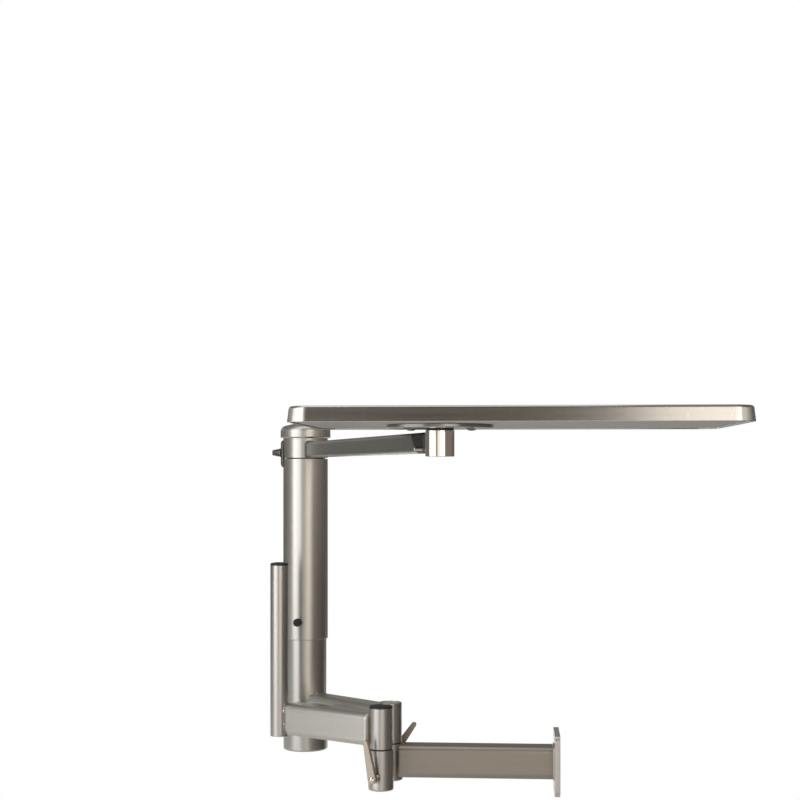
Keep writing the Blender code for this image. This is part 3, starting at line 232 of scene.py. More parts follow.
def stainless(name, hex_colour, roughness, grain, anisotropy, contrast, scratches=0.0, tint=0.0):
    """Stainless steel with a brushed, rolled or turned grain.

    Belt-brushed steel has fine lines along the piece, so lights smear across them; a turned piece has
    rings about its axis. grain is ALONG_X for bars and plates, ROUND_Z for turned pieces. contrast is how
    much the lines darken and lighten the steel, scratches how bright its few scratches from use are, and
    tint how much painted shade darkens the start of the piece, where it meets the collar.
    """
    # The lines are drawn coarser than the real ones, so that they still show from a few paces away.
    line_width, line_length = finishes().grain * MM, 70.0 * MM
    pass_width, pass_length = 6.0 * MM, 240.0 * MM
    fine, streak = 1.0 / line_width, 1.0 / line_length
    broad, sweep = 1.0 / pass_width, 1.0 / pass_length
    line_height, line_relief = 0.02 * MM, 0.05
    rough_swing = 0.08
    material, tree = empty_material(name)
    where = add_node(tree, "ShaderNodeTexCoord").outputs["Object"]
    split = add_node(tree, "ShaderNodeSeparateXYZ", {"Vector": where})
    x, y, z = split.outputs["X"], split.outputs["Y"], split.outputs["Z"]
    if grain == "ALONG_X":
        line_scale, pass_scale = (streak, fine, fine), (sweep, broad, broad)
        across = add_node(tree, "ShaderNodeCombineXYZ", {"X": 0.0, "Y": 1.0, "Z": 1.0})
    else:
        flat = add_node(tree, "ShaderNodeCombineXYZ", {"X": x, "Y": y, "Z": 0.0})
        radius = add_node(tree, "ShaderNodeVectorMath", {0: flat.outputs[0]}, operation="LENGTH")
        rings = {"X": radius.outputs["Value"], "Y": x, "Z": z}
        where = add_node(tree, "ShaderNodeCombineXYZ", rings).outputs[0]
        line_scale, pass_scale = (fine, streak, fine), (broad, sweep, broad)
        # A little height keeps the direction steady near the axis.
        across = add_node(tree, "ShaderNodeCombineXYZ", {"X": x, "Y": y, "Z": 20.0 * MM})
    tangent = add_node(tree, "ShaderNodeVectorTransform", {"Vector": across.outputs[0]}, vector_type="VECTOR",
                       convert_from="OBJECT", convert_to="WORLD")
    scaled = add_node(tree, "ShaderNodeMapping", {"Vector": where, "Scale": line_scale})
    lines = add_node(tree, "ShaderNodeTexNoise", {"Vector": scaled.outputs[0], "Scale": 1.0, "Detail": 3.0})
    swept = add_node(tree, "ShaderNodeMapping", {"Vector": where, "Scale": pass_scale})
    passes = add_node(tree, "ShaderNodeTexNoise", {"Vector": swept.outputs[0], "Scale": 1.0, "Detail": 2.0})
    tone = add_node(tree, "ShaderNodeMath", {0: lines.outputs["Fac"], 1: passes.outputs["Fac"]},
                    operation="ADD").outputs[0]
    base = linear_colour(hex_colour)
    # Two noises of about 0.5 add up to about 1, and stay mostly within these ranges.
    share = add_node(tree, "ShaderNodeMapRange", {"Value": tone, "From Min": 0.7, "From Max": 1.3})
    tones = {"Factor": share.outputs[0], "A": shaded(base, 1.0 - contrast), "B": shaded(base, 1.0 + contrast)}
    colour = add_node(tree, "ShaderNodeMix", tones, data_type="RGBA").outputs["Result"]
    # Painted shade: the colour darkens towards the start of the piece, where it meets the collar.
    if tint:
        tint_start, tint_end = 34.0 * MM, 80.0 * MM
        clear = add_node(tree, "ShaderNodeMapRange",
                         {"Value": x, "From Min": tint_start, "From Max": tint_end})
        darkened_start = {"Factor": clear.outputs[0], "A": shaded(base, 1.0 - tint), "B": colour}
        colour = add_node(tree, "ShaderNodeMix", darkened_start, data_type="RGBA").outputs["Result"]
    if scratches:
        # The scratches too are drawn wider than real ones, so that they show.
        mark_scale = (1.0 / (1.4 * MM), 1.0 / (6.0 * MM), 1.0 / (12.0 * MM))
        slant = (0.0, math.radians(16.0), 0.0)
        bare_steel = (0.85, 0.83, 0.80, 1.0)
        slanted = add_node(tree, "ShaderNodeMapping",
                           {"Vector": where, "Rotation": slant, "Scale": mark_scale})
        marks = add_node(tree, "ShaderNodeTexNoise",
                         {"Vector": slanted.outputs[0], "Scale": 1.0, "Detail": 1.0})
        # Only the highest peaks of the noise show, so that the scratches stay few.
        few = {"Value": marks.outputs["Fac"], "From Min": 0.70, "From Max": 0.78, "To Max": scratches}
        bare = add_node(tree, "ShaderNodeMapRange", few)
        scratched = {"Factor": bare.outputs[0], "A": colour, "B": bare_steel}
        colour = add_node(tree, "ShaderNodeMix", scratched, data_type="RGBA").outputs["Result"]
    swing = {"Value": tone, "From Min": 0.6, "From Max": 1.4,
             "To Min": roughness * (1.0 - rough_swing), "To Max": roughness * (1.0 + rough_swing)}
    rough = add_node(tree, "ShaderNodeMapRange", swing)
    ridges = {"Strength": line_relief, "Distance": line_height, "Height": lines.outputs["Fac"]}
    relief = add_node(tree, "ShaderNodeBump", ridges)
    shader = add_node(tree, "ShaderNodeBsdfPrincipled", {
        "Metallic": 1.0, "Anisotropic": anisotropy, "Base Color": colour, "Roughness": rough.outputs[0],
        "Normal": relief.outputs[0], "Tangent": tangent.outputs[0]})
    add_node(tree, "ShaderNodeOutputMaterial", {"Surface": shader.outputs["BSDF"]})
    return material


def satin_along():
    """Belt-brushed stainless tube and plate: soft lengthwise lines, lights smeared across them, in a paler steel
    that is painted light.
    """
    return once("brushed_stainless_along", stainless, hex_colour=finishes().lit_bar_steel,
                roughness=finishes().satin, grain="ALONG_X", anisotropy=0.45, contrast=0.035)


def satin_round():
    """Stainless tube polished on rollers: fine rings, so lights stand as soft upright bands."""
    return once("brushed_stainless_round", stainless, hex_colour=finishes().steel,
                roughness=finishes().satin, grain="ROUND_Z", anisotropy=0.40, contrast=0.018)


def tray_sheet():
    """Finely brushed tray sheet: lights stay sharp along its lines and smear across them, a few scratches."""
    return once("brushed_tray_sheet", stainless, hex_colour=finishes().steel, roughness=finishes().sheet,
                grain="ALONG_X", anisotropy=0.6, contrast=0.06, scratches=0.5)


def satin_top():
    """The tray's working face, rubbed dull in use: lights spread wide on it, with long brush lines."""
    return once("rubbed_tray_face", stainless, hex_colour=finishes().steel, roughness=finishes().rubbed,
                grain="ALONG_X", anisotropy=0.5, contrast=0.09, scratches=0.3)


def mill_sheet():
    """Mill-finish stainless sheet, not brushed: grey and dull."""
    return once("mill_finish_sheet", stainless, hex_colour=finishes().mill_steel, roughness=0.52,
                grain="ALONG_X", anisotropy=0.2, contrast=0.02)


def matt_turned():
    """Steel turned with a fine matt cut: lights only glow on it."""
    return once("matt_turned_stainless", stainless, hex_colour=finishes().mill_steel, roughness=0.25,
                grain="ROUND_Z", anisotropy=0.4, contrast=0.03)


def dull_arm():
    """Stainless tube brushed with a coarse belt: duller than the rest, its darker colour painted shade, with more
    painted shade beside its weld.
    """
    return once("dull_brushed_stainless", stainless, hex_colour=finishes().shaded_arm_steel, roughness=0.40,
                grain="ALONG_X", anisotropy=0.35, contrast=0.03, tint=0.5)


def base_tube():
    """Stainless tube brushed with a coarse belt: a little duller than the bars, its darker, warmer colour painted
    shade.
    """
    return once("coarse_brushed_stainless", stainless, hex_colour=finishes().shaded_base_steel, roughness=0.40,
                grain="ALONG_X", anisotropy=0.35, contrast=0.03)


def cast_pad():
    """Shell-cast steel left grey: its sand skin only glows."""
    return once("shell_cast_steel", stainless, hex_colour=finishes().dark_steel, roughness=0.48,
                grain="ALONG_X", anisotropy=0.0, contrast=0.05)


def turned_bright():
    """Turned stainless steel: bright, with faint rings."""
    return once("turned_stainless", stainless, hex_colour=finishes().bright_steel,
                roughness=finishes().turned, grain="ROUND_Z", anisotropy=0.45, contrast=0.03)


def mirror_turned():
    """Turned stainless steel buffed to a mirror: lights stand on it as sharp upright bands."""
    return once("buffed_stainless", stainless, hex_colour=finishes().bright_steel,
                roughness=finishes().mirror, grain="ROUND_Z", anisotropy=0.2, contrast=0.015)


def cast_handle():
    """Tumbled steel casting: warm and dull, its grain too fine to see."""
    return once("tumbled_cast_steel", stainless, hex_colour=finishes().cast_steel,
                roughness=finishes().cast, grain="ALONG_X", anisotropy=0.0, contrast=0.05)


def dark_machined():
    """Machined steel left dark by its cutting oil, seen only in gaps and on small screws and knobs."""
    return once("machined_steel", stainless, hex_colour=finishes().dark_steel, roughness=0.40,
                grain="ROUND_Z", anisotropy=0.3, contrast=0.05)


def pressed_bronze(name, hex_colour):
    """Oil-filled sintered bronze: dull, with a fine grain of pressed powder."""
    # The powder is drawn coarser than it is, so that it shows.
    powder_size, pit_shade = 0.6 * MM, 0.7
    material, tree = empty_material(name)
    where = add_node(tree, "ShaderNodeTexCoord").outputs["Object"]
    powder = add_node(tree, "ShaderNodeTexNoise",
                      {"Vector": where, "Scale": 1.0 / powder_size, "Detail": 2.0})
    base = linear_colour(hex_colour)
    grains = {"Factor": powder.outputs["Fac"], "A": shaded(base, pit_shade), "B": base}
    colour = add_node(tree, "ShaderNodeMix", grains, data_type="RGBA")
    shader = add_node(tree, "ShaderNodeBsdfPrincipled", {
        "Base Color": colour.outputs["Result"], "Metallic": 1.0, "Roughness": 0.5})
    add_node(tree, "ShaderNodeOutputMaterial", {"Surface": shader.outputs["BSDF"]})
    return material


def sintered_bronze():
    """Clean bronze bushes, warm and dull."""
    return once("sintered_bronze", pressed_bronze, hex_colour=finishes().bronze)


def shaded_bronze():
    """Bronze painted dark as shade, for the washer set back in the joint under the head's cap."""
    return once("painted_shade_bronze", pressed_bronze, hex_colour=finishes().shade_bronze)


def moulded_nylon(name):
    """Injection-moulded black nylon: a fine spark-eroded texture that breaks up the gloss."""
    # The texture is drawn coarser than it is, so that it shows.
    spark_size, rub_size = 0.8 * MM, 14.0 * MM
    texture_height, texture_relief = 0.05 * MM, 0.15
    wear_shade, wear_lift = 1.9, 0.004
    glossiest, dullest = 0.46, 0.62
    material, tree = empty_material(name)
    where = add_node(tree, "ShaderNodeTexCoord").outputs["Object"]
    texture = add_node(tree, "ShaderNodeTexNoise",
                       {"Vector": where, "Scale": 1.0 / spark_size, "Detail": 2.0})
    rubbed = add_node(tree, "ShaderNodeTexNoise", {"Vector": where, "Scale": 1.0 / rub_size, "Detail": 2.0})
    base = linear_colour(finishes().black)
    wear = {"Factor": rubbed.outputs["Fac"], "A": base, "B": shaded(base, wear_shade, wear_lift)}
    colour = add_node(tree, "ShaderNodeMix", wear, data_type="RGBA")
    rough = add_node(tree, "ShaderNodeMapRange",
                     {"Value": rubbed.outputs["Fac"], "To Min": glossiest, "To Max": dullest})
    pits = {"Strength": texture_relief, "Distance": texture_height, "Height": texture.outputs["Fac"]}
    relief = add_node(tree, "ShaderNodeBump", pits)
    shader = add_node(tree, "ShaderNodeBsdfPrincipled", {
        "Base Color": colour.outputs["Result"], "Roughness": rough.outputs[0], "Normal": relief.outputs[0],
        "IOR": 1.45})
    add_node(tree, "ShaderNodeOutputMaterial", {"Surface": shader.outputs["BSDF"]})
    return material


def black_moulding():
    """Black nylon mouldings, rubbed a little paler in places."""
    return once("moulded_black_nylon", moulded_nylon)


def fibre_board(name):
    """Raw fibre board: short pressed fibres, quite dull."""
    fibre_length, fibre_depth, gap_shade = 10.0 / 3.0 * MM, 10.0 / 9.0 * MM, 0.6
    fibre_scale = (1.0 / fibre_length, 1.0 / fibre_length, 1.0 / fibre_depth)
    material, tree = empty_material(name)
    where = add_node(tree, "ShaderNodeTexCoord").outputs["Object"]
    scaled = add_node(tree, "ShaderNodeMapping", {"Vector": where, "Scale": fibre_scale})
    fibres = add_node(tree, "ShaderNodeTexNoise", {"Vector": scaled.outputs[0], "Scale": 1.0, "Detail": 3.0})
    base = linear_colour(finishes().board)
    threads = {"Factor": fibres.outputs["Fac"], "A": shaded(base, gap_shade), "B": base}
    colour = add_node(tree, "ShaderNodeMix", threads, data_type="RGBA")
    shader = add_node(tree, "ShaderNodeBsdfPrincipled", {
        "Base Color": colour.outputs["Result"], "Roughness": 0.85})
    add_node(tree, "ShaderNodeOutputMaterial", {"Surface": shader.outputs["BSDF"]})
    return material


def core_board():
    """The tray's core."""
    return once("raw_fibre_board", fibre_board)


def linked(name, bm, place):
    """Put a mesh into the scene as an object."""
    mesh = bpy.data.meshes.new(name)
    bm.to_mesh(mesh)
    bm.free()
    item = bpy.data.objects.new(name, mesh)
    bpy.context.scene.collection.objects.link(item)
    item.matrix_world = place
    return item


def add_piece(name, bm, place, finish, body, replaced=()):
    """Turn a mesh into a piece that rides on a body and stands for CAD nodes."""
    bmesh.ops.recalc_face_normals(bm, faces=bm.faces)
    piece = linked(name, bm, place)
    piece.data.shade_smooth()
    piece.data.set_sharp_from_angle(angle=SHARP_ANGLE)
    piece.data.materials.append(finish)
    weighted = piece.modifiers.new("flat_faces", "WEIGHTED_NORMAL")
    weighted.keep_sharp = True
    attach(piece, body)
    if replaced:
        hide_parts(*replaced)
    return piece


def dress(node, bm, place, finish, also=()):
    """Dress a CAD node, on the body that its record gives."""
    return add_piece(node + "_dressed", bm, place, finish, BODY_OF[node], [node, *also])


def dress_turned(node, points, place, finish, small=False, also=()):
    """Dress a CAD node with an outline turned about Z."""
    segments = sizes().small_segments if small else sizes().round_segments
    return dress(node, turned_mesh(points, segments), place, finish, also)


def dress_lofted(node, loops, place, finish):
    """Dress a CAD node with a skin over loops."""
    bm = bmesh.new()
    add_loft(bm, loops)
    return dress(node, bm, place, finish)


def softened(points):
    """Round the corners of an open outline of (radius, height) and (radius, height, rounding) points."""
    most = 0.49
    plain = [points[0][:2]]
    for previous, corner, following in zip(points, points[1:], points[2:]):
        if len(corner) == 2:
            plain.append(corner)
            continue
        here = Vector(corner[:2])
        before = Vector(previous[:2]) - here
        after = Vector(following[:2]) - here
        turn = before.angle(after)
        reach = min(corner[2] / math.tan(turn / 2.0), before.length * most, after.length * most)
        rounding = reach * math.tan(turn / 2.0)
        start = here + before.normalized() * reach
        inward = (before.normalized() + after.normalized()).normalized()
        middle = here + inward * (rounding / math.sin(turn / 2.0))
        sweep = math.copysign(math.pi - turn, -before.cross(after))
        arm = start - middle
        for step in range(EDGE_STEPS + 1):
            angle = sweep * step / EDGE_STEPS
            spun = Vector((arm.x * math.cos(angle) - arm.y * math.sin(angle),
                           arm.x * math.sin(angle) + arm.y * math.cos(angle)))
            plain.append(tuple(middle + spun))
    plain.append(points[-1][:2])
    return plain


def turned_mesh(points, segments):
    """Spin an outline about Z; one that ends where it starts makes a ring."""
    same_point = 1e-6
    bm = bmesh.new()
    verts = [bm.verts.new((radius, 0.0, height)) for radius, height in softened(points)]
    edges = [bm.edges.new(pair) for pair in zip(verts, verts[1:])]
    bmesh.ops.spin(bm, geom=verts + edges, cent=(0, 0, 0), axis=(0, 0, 1), angle=FULL_TURN, steps=segments,
                   use_merge=True)
    bmesh.ops.remove_doubles(bm, verts=bm.verts, dist=same_point)
    return bm


def tube_points(outer, inner, low, high, rounding):
    """Outline of a tube with softened ends, from the middle of its outer side and back to it."""
    middle = (low + high) / 2.0
    return [(outer, middle), (outer, high, rounding), (inner, high, rounding), (inner, low, rounding),
            (outer, low, rounding), (outer, middle)]


def rounded_rectangle(width, height, radius, inset=0.0, steps=None):
    """Points of a rectangle with round corners, anticlockwise about its centre, moved in by an inset."""
    steps = steps or sizes().corner_steps
    width, height, radius = width - 2.0 * inset, height - 2.0 * inset, radius - inset
    points = []
    for quarter, (sx, sy) in enumerate(((1, 1), (-1, 1), (-1, -1), (1, -1))):
        centre = (sx * (width / 2.0 - radius), sy * (height / 2.0 - radius))
        for step in range(steps + 1):
            angle = (quarter + step / steps) * QUARTER_TURN
            points.append((centre[0] + radius * math.cos(angle), centre[1] + radius * math.sin(angle)))
    return points


def upright_loop(x, middle, width, height, corner, inset=0.0):
    """A rounded rectangle that stands across +X, about a middle height."""
    return [(x, y, middle + z) for y, z in rounded_rectangle(width, height, corner, inset)]


def polar_loop(height, count, radius_at):
    """A level loop about Z, with its radius given for each angle."""
    turns = [FULL_TURN * i / count for i in range(count)]
    return [(radius_at(a) * math.cos(a), radius_at(a) * math.sin(a), height) for a in turns]


def add_loft(bm, loops):
    """Join loops of equal length into a skin, with both ends filled."""
    rings = [[bm.verts.new(point) for point in loop] for loop in loops]
    for ring, following in zip(rings, rings[1:]):
        for i in range(len(ring)):
            j = (i + 1) % len(ring)
            bm.faces.new((ring[i], ring[j], following[j], following[i]))
    bm.faces.new(rings[0])
    bm.faces.new(rings[-1])


def quarter_round(radius, steps=EDGE_STEPS):
    """(inset, depth) pairs that round an edge, from the face to the side."""
    angles = [step / steps * QUARTER_TURN for step in range(steps + 1)]
    return [(radius * (1.0 - math.sin(a)), radius * (1.0 - math.cos(a))) for a in angles]


def from_side(radius, steps=EDGE_STEPS):
    """The same pairs, from the side to the face."""
    return reversed(quarter_round(radius, steps))


def block_loops(outline, low, high, rounding):
    """Loops of an outline extruded along X, with rounded end edges; outline(inset) gives the points."""
    stations = [(low + depth, inset) for inset, depth in quarter_round(rounding)]
    stations += [(high - depth, inset) for inset, depth in from_side(rounding)]
    return [[(x, y, z) for y, z in outline(inset)] for x, inset in stations]


def bar_loops(end, middle=0.0, end_round=0.0):
    """Loops of a bar along +X, rounded at the end that flanks its barrel and, where asked, at the other."""
    size = sizes()
    profile = (middle, size.bar_width, size.bar_height, size.bar_corner)
    far_edge = from_side(end_round) if end_round else [(0.0, 0.0)]
    loops = [upright_loop(size.bar_start + depth, *profile, inset)
             for inset, depth in quarter_round(size.bar_end_round)]
    return loops + [upright_loop(end - depth, *profile, inset) for inset, depth in far_edge]


def carve(piece, cutter_bm, place):
    """Cut a mesh out of a piece for good."""
    bmesh.ops.recalc_face_normals(cutter_bm, faces=cutter_bm.faces)
    cutter = linked("cutter", cutter_bm, place)
    cutter_mesh = cutter.data
    cut = piece.modifiers.new("cut", "BOOLEAN")
    cut.operation = "DIFFERENCE"
    cut.solver = "EXACT"
    cut.object = cutter
    piece.modifiers.move(len(piece.modifiers) - 1, 0)
    bpy.context.view_layer.update()
    depsgraph = bpy.context.evaluated_depsgraph_get()
    result = bpy.data.meshes.new_from_object(piece.evaluated_get(depsgraph), depsgraph=depsgraph)
    piece.modifiers.remove(cut)
    whole = piece.data
    piece.data = result
    bpy.data.meshes.remove(whole)
    bpy.data.objects.remove(cutter)
    bpy.data.meshes.remove(cutter_mesh)
    result.name = piece.name
    result.set_sharp_from_angle(angle=SHARP_ANGLE)


def rod_mesh(radius, low, high, segments):
    """A plain round cutter along Z."""
    return turned_mesh([(0.0, high), (radius, high), (radius, low), (0.0, low)], segments)


def add_bead(bm, path, normals, radius, ripple=0.06):
    """A weld bead along a path: a low half-round ridge with the small ripples of a welder's dabs."""
    pitch, sides = 2.2 * MM, 10
    rise, end_share = 0.7, 0.35
    turns = [FULL_TURN * side / sides for side in range(sides)]
    travelled = 0.0
    loops = []
    for index, point in enumerate(path):
        if index:
            travelled += (point - path[index - 1]).length
        ahead = (path[min(index + 1, len(path) - 1)] - path[max(index - 1, 0)]).normalized()
        up = (normals[index] - ahead * normals[index].dot(ahead)).normalized()
        side = ahead.cross(up)
        swell = radius * (1.0 + ripple * math.sin(travelled / pitch * FULL_TURN))
        if index in (0, len(path) - 1):
            swell *= end_share
        loops.append([point + side * (swell * math.cos(a)) + up * (rise * swell * math.sin(a))
                      for a in turns])
    add_loft(bm, loops)


def add_tack(bm, centre, normal, radius):
    """A tack weld: one low round blob on a surface."""
    rise = 0.55
    turn = normal.to_track_quat("Z", "Y").to_matrix().to_4x4()
    place = Matrix.Translation(centre) @ turn @ Matrix.Diagonal((radius, radius, radius * rise, 1.0))
    bmesh.ops.create_icosphere(bm, subdivisions=3, radius=1.0, matrix=place)


def at(point, bearing=0.0, height=0.0):
    """Frame at a plan point, with +X along a bearing."""
    return Matrix.Translation((point.x, point.y, height)) @ Matrix.Rotation(bearing, 4, "Z")


def facing(point, bearing, height):
    """Frame at a plan point, with +Z along a bearing, for pieces turned about a level axis."""
    return at(point, bearing, height) @ Matrix.Rotation(QUARTER_TURN, 4, "Y")


def bearing_of(joint):
    """Plan angle of a joint's level axis."""
    axis = Vector(JOINTS[joint]["axis"])
    return math.atan2(axis.y, axis.x)


def height_of(node):
    """Lowest and highest point of a CAD node."""
    low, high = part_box(node)
    return low.z, high.z


def radius_of(node):
    """Radius of an upright round CAD node."""
    low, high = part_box(node)
    return (high.x - low.x) / 2.0


def centre_of(node):
    """Middle of a CAD node's box."""
    low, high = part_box(node)
    return (low + high) / 2.0


class TABLE_OT_tray(bpy.types.Operator):
    """Pressed tray with a flared lip, its closing plate, mounting disc and screws"""

    bl_idname = "table.tray"
    bl_label = "Tray"

    def execute(self, context):
        low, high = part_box("tray_pan")
        place = at(centre_of("tray_pan"))
        edge, flare = sizes().tray_edge, sizes().lip_flare
        outline = (high.x - low.x, high.y - low.y, sizes().tray_corner)
        corner_steps, edge_steps, hem_steps = 20, 10, 6
        sheet = 1.5 * MM
        hem = sheet / 2.0
        upward = 0.95

        def loop(inset, height):
            return [(x, y, height) for x, y in rounded_rectangle(*outline, inset, corner_steps)]

        lip = [(flare + inset, high.z - depth) for inset, depth in quarter_round(edge, edge_steps)]
        lip.append((flare / 2.0, (high.z + low.z) / 2.0 - edge / 2.0))
        for step in range(hem_steps + 1):
            angle = step / hem_steps * math.pi
            lip.append((hem - hem * math.cos(angle), low.z + hem - hem * math.sin(angle)))
        lip.append((flare + sheet, low.z + 4.0 * sheet))
        loops = [loop(inset, height) for inset, height in lip]
        pan = dress_lofted("tray_pan", loops, place, tray_sheet())
        pan.data.materials.append(satin_top())
        for face in pan.data.polygons:
            face.material_index = int(face.normal.z > upward)

        low, high = height_of("tray_underside")
        fit = flare + sheet + GAP
        loops = [loop(fit, high), loop(fit, low + FINE_EDGE), loop(fit + FINE_EDGE, low)]
        dress_lofted("tray_underside", loops, place, mill_sheet())

        low, high = height_of("mounting_disc")
        rim, rim_edge = radius_of("mounting_disc"), 1.0 * MM
        land, crown = rim - 3.0 * MM, low - 0.02 * MM
        points = [(0.0, high), (rim, high, FINE_EDGE), (rim, low, rim_edge), (land, crown), (0.0, crown)]
        dress_turned("mounting_disc", points, at(BOSS), matt_turned())

        for number in range(1, 5):
            self.screw("disc_screw_%d" % number, low)
        return {"FINISHED"}

    def screw(self, node, top):
        """A low button-head screw with a hex socket, head down."""
        low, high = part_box(node)
        head, socket = (high.x - low.x) / 2.0, 1.5 * MM
        socket_mouth, socket_edge, socket_gap = socket * 1.12, 0.12 * MM, 0.1 * MM
        depth = top - low.z
        count, dome_steps, dome_turn = 48, 6, math.pi / 2.4
        rim_share, fullness, dome_share = 0.25, 0.7, 0.98
        sixth = math.pi / 3.0

        def ring(radius, height):
            return polar_loop(height, count, lambda a: radius)

        def hexagon(flats, height):
            return polar_loop(height, count,
                              lambda a: flats / math.cos((a + sixth / 2.0) % sixth - sixth / 2.0))

        loops = [ring(head, top), ring(head, top - depth * rim_share)]
        for step in range(1, dome_steps + 1):
            angle = step / dome_steps * dome_turn
            fall = rim_share + (1.0 - rim_share) * math.sin(angle)
            loops.append(ring(head * math.cos(angle) ** fullness * dome_share, top - depth * fall))
        loops += [hexagon(socket_mouth, low.z), hexagon(socket, low.z + socket_edge),
                  hexagon(socket, top - socket_gap)]
        dress_lofted(node, loops, at(centre_of(node)), dark_machined())


class TABLE_OT_tray_swivel(bpy.types.Operator):
    """Turned boss at the arm's end, with its washer and retaining disc"""

    bl_idname = "table.tray_swivel"
    bl_label = "Tray swivel"

    def execute(self, context):
        low, high = height_of("tray_boss")
        radius = radius_of("tray_boss")
        seat, seat_top = radius_of("spindle_retainer") + GAP, low + 3.0 * MM
        edge = sizes().edge_break
        points = [(0.0, high), (radius, high, edge), (radius, low, edge), (seat, low, edge), (seat, seat_top),
                  (0.0, seat_top)]
        dress_turned("tray_boss", points, at(BOSS), mirror_turned(), also=["boss_bush"])

        low, high = height_of("tray_washer")
        radius = radius_of("tray_washer")
        points = [(0.0, high), (radius, high, FINE_EDGE), (radius, low, FINE_EDGE), (0.0, low)]
        dress_turned("tray_washer", points, at(BOSS), black_moulding())

        low, high = height_of("spindle_retainer")
        radius = radius_of("spindle_retainer")
        mouth, dimple, dimple_top = 3.2 * MM, 2.4 * MM, low + 1.2 * MM
        points = [(0.0, high), (radius, high, SLIGHT_EDGE), (radius, low, SMALL_EDGE),
                  (mouth, low, FINE_EDGE), (dimple, dimple_top), (0.0, dimple_top)]
        dress_turned("spindle_retainer", points, at(BOSS), dark_machined(), small=True)
        return {"FINISHED"}


class TABLE_OT_top_arm(bpy.types.Operator):
    """Long arm tube with its slanted end, black end block, neck, cross pin and weld to the collar"""

    bl_idname = "table.top_arm"
    bl_label = "Top arm"

    def execute(self, context):
        low, high = height_of("top_arm")
        height, middle = high - low, (high + low) / 2.0
        width = sizes().arm_width
        profile = (middle, width, height, sizes().arm_corner)
        place = at(COLUMN, ARM_BEARING)
        upper, lower = ARM_LENGTH - 95.0 * MM, ARM_LENGTH - 70.0 * MM
        face, neck_end = ARM_LENGTH - 44.5 * MM, ARM_LENGTH - 12.0 * MM
        collar = radius_of("head_collar")
        wall, overlap, recess, insertion = 1.5 * MM, 6.0 * MM, 4.0 * MM, 3.0 * MM
        tube_edge, block_edge, face_edge = 1.1 * MM, 0.6 * MM, 1.0 * MM

        def slanted(offset, inset):
            """A loop on the slant of the arm's end, moved along the arm."""
            return [(lower + (z - low) / height * (upper - lower) + offset, y, z)
                    for _, y, z in upright_loop(0.0, *profile, inset)]

        loops = [upright_loop(collar - overlap, *profile)]
        loops += [slanted(-depth, inset) for inset, depth in from_side(tube_edge, COARSE_STEPS)]
        loops += [slanted(0.0, wall), slanted(-recess, wall)]
        dress_lofted("top_arm", loops, place, dull_arm())

        loops = [slanted(-insertion, wall + GAP), slanted(GAP, wall + GAP)]
        loops += [slanted(GAP + depth, inset) for inset, depth in quarter_round(block_edge, COARSE_STEPS)]
        loops += [upright_loop(face - depth, *profile, inset)
                  for inset, depth in from_side(face_edge, COARSE_STEPS)]
        dress_lofted("arm_end_block", loops, place, black_moulding())

        neck_height, neck_corner = 22.0 * MM, 4.0 * MM
        neck = (middle, width, neck_height, neck_corner)
        loops = [upright_loop(face + GAP + depth, *neck, inset)
                 for inset, depth in quarter_round(SOFT_EDGE, COARSE_STEPS)]
        loops.append(upright_loop(neck_end, *neck))
        dress_lofted("arm_neck", loops, place, cast_pad())

        self.pin(place, middle)
        self.weld(place, middle, collar, [(y, z) for _, y, z in upright_loop(0.0, *profile, -FINE_EDGE)])
        return {"FINISHED"}

    def pin(self, place, middle):
        """The cross pin beside the end block, round-nosed on the near side."""
        radius, nose = 2.35 * MM, 0.6
        root, reach = 4.9 * MM, sizes().arm_width / 2.0 + 9.8 * MM
        station, drop = ARM_LENGTH - 47.0 * MM, 7.0 * MM
        points = [(0.0, reach), (radius, reach, radius * nose), (radius, root), (0.0, root)]
        beside = place @ Matrix.Translation((station, 0.0, middle - drop))
        cross = Matrix.Rotation(QUARTER_TURN, 4, "X")
        dress_turned("neck_pin", points, beside @ cross, turned_bright(), small=True)

    def weld(self, place, middle, collar, ring):
        """The bead where the tube meets the round collar."""
        width, fullness, ripple, lean = sizes().arm_width, 1.3, 0.03, 0.6
        path, normals = [], []
        for y, z in ring + ring[:1]:
            x = math.sqrt(collar ** 2 - y ** 2)
            path.append(Vector((x, y, z)))
            outward = Vector((x / collar + lean, y / collar, 0.0))
            normals.append(outward + Vector((0.0, y, z - middle)) / width)
        bm = bmesh.new()
        add_bead(bm, path, normals, sizes().weld_size * fullness, ripple)
        # The bead takes the dark cast finish: a darker weld, deepened as painted shade along the joint with the
        # collar.
        add_piece("arm_weld", bm, place, cast_pad(), "arm_head")


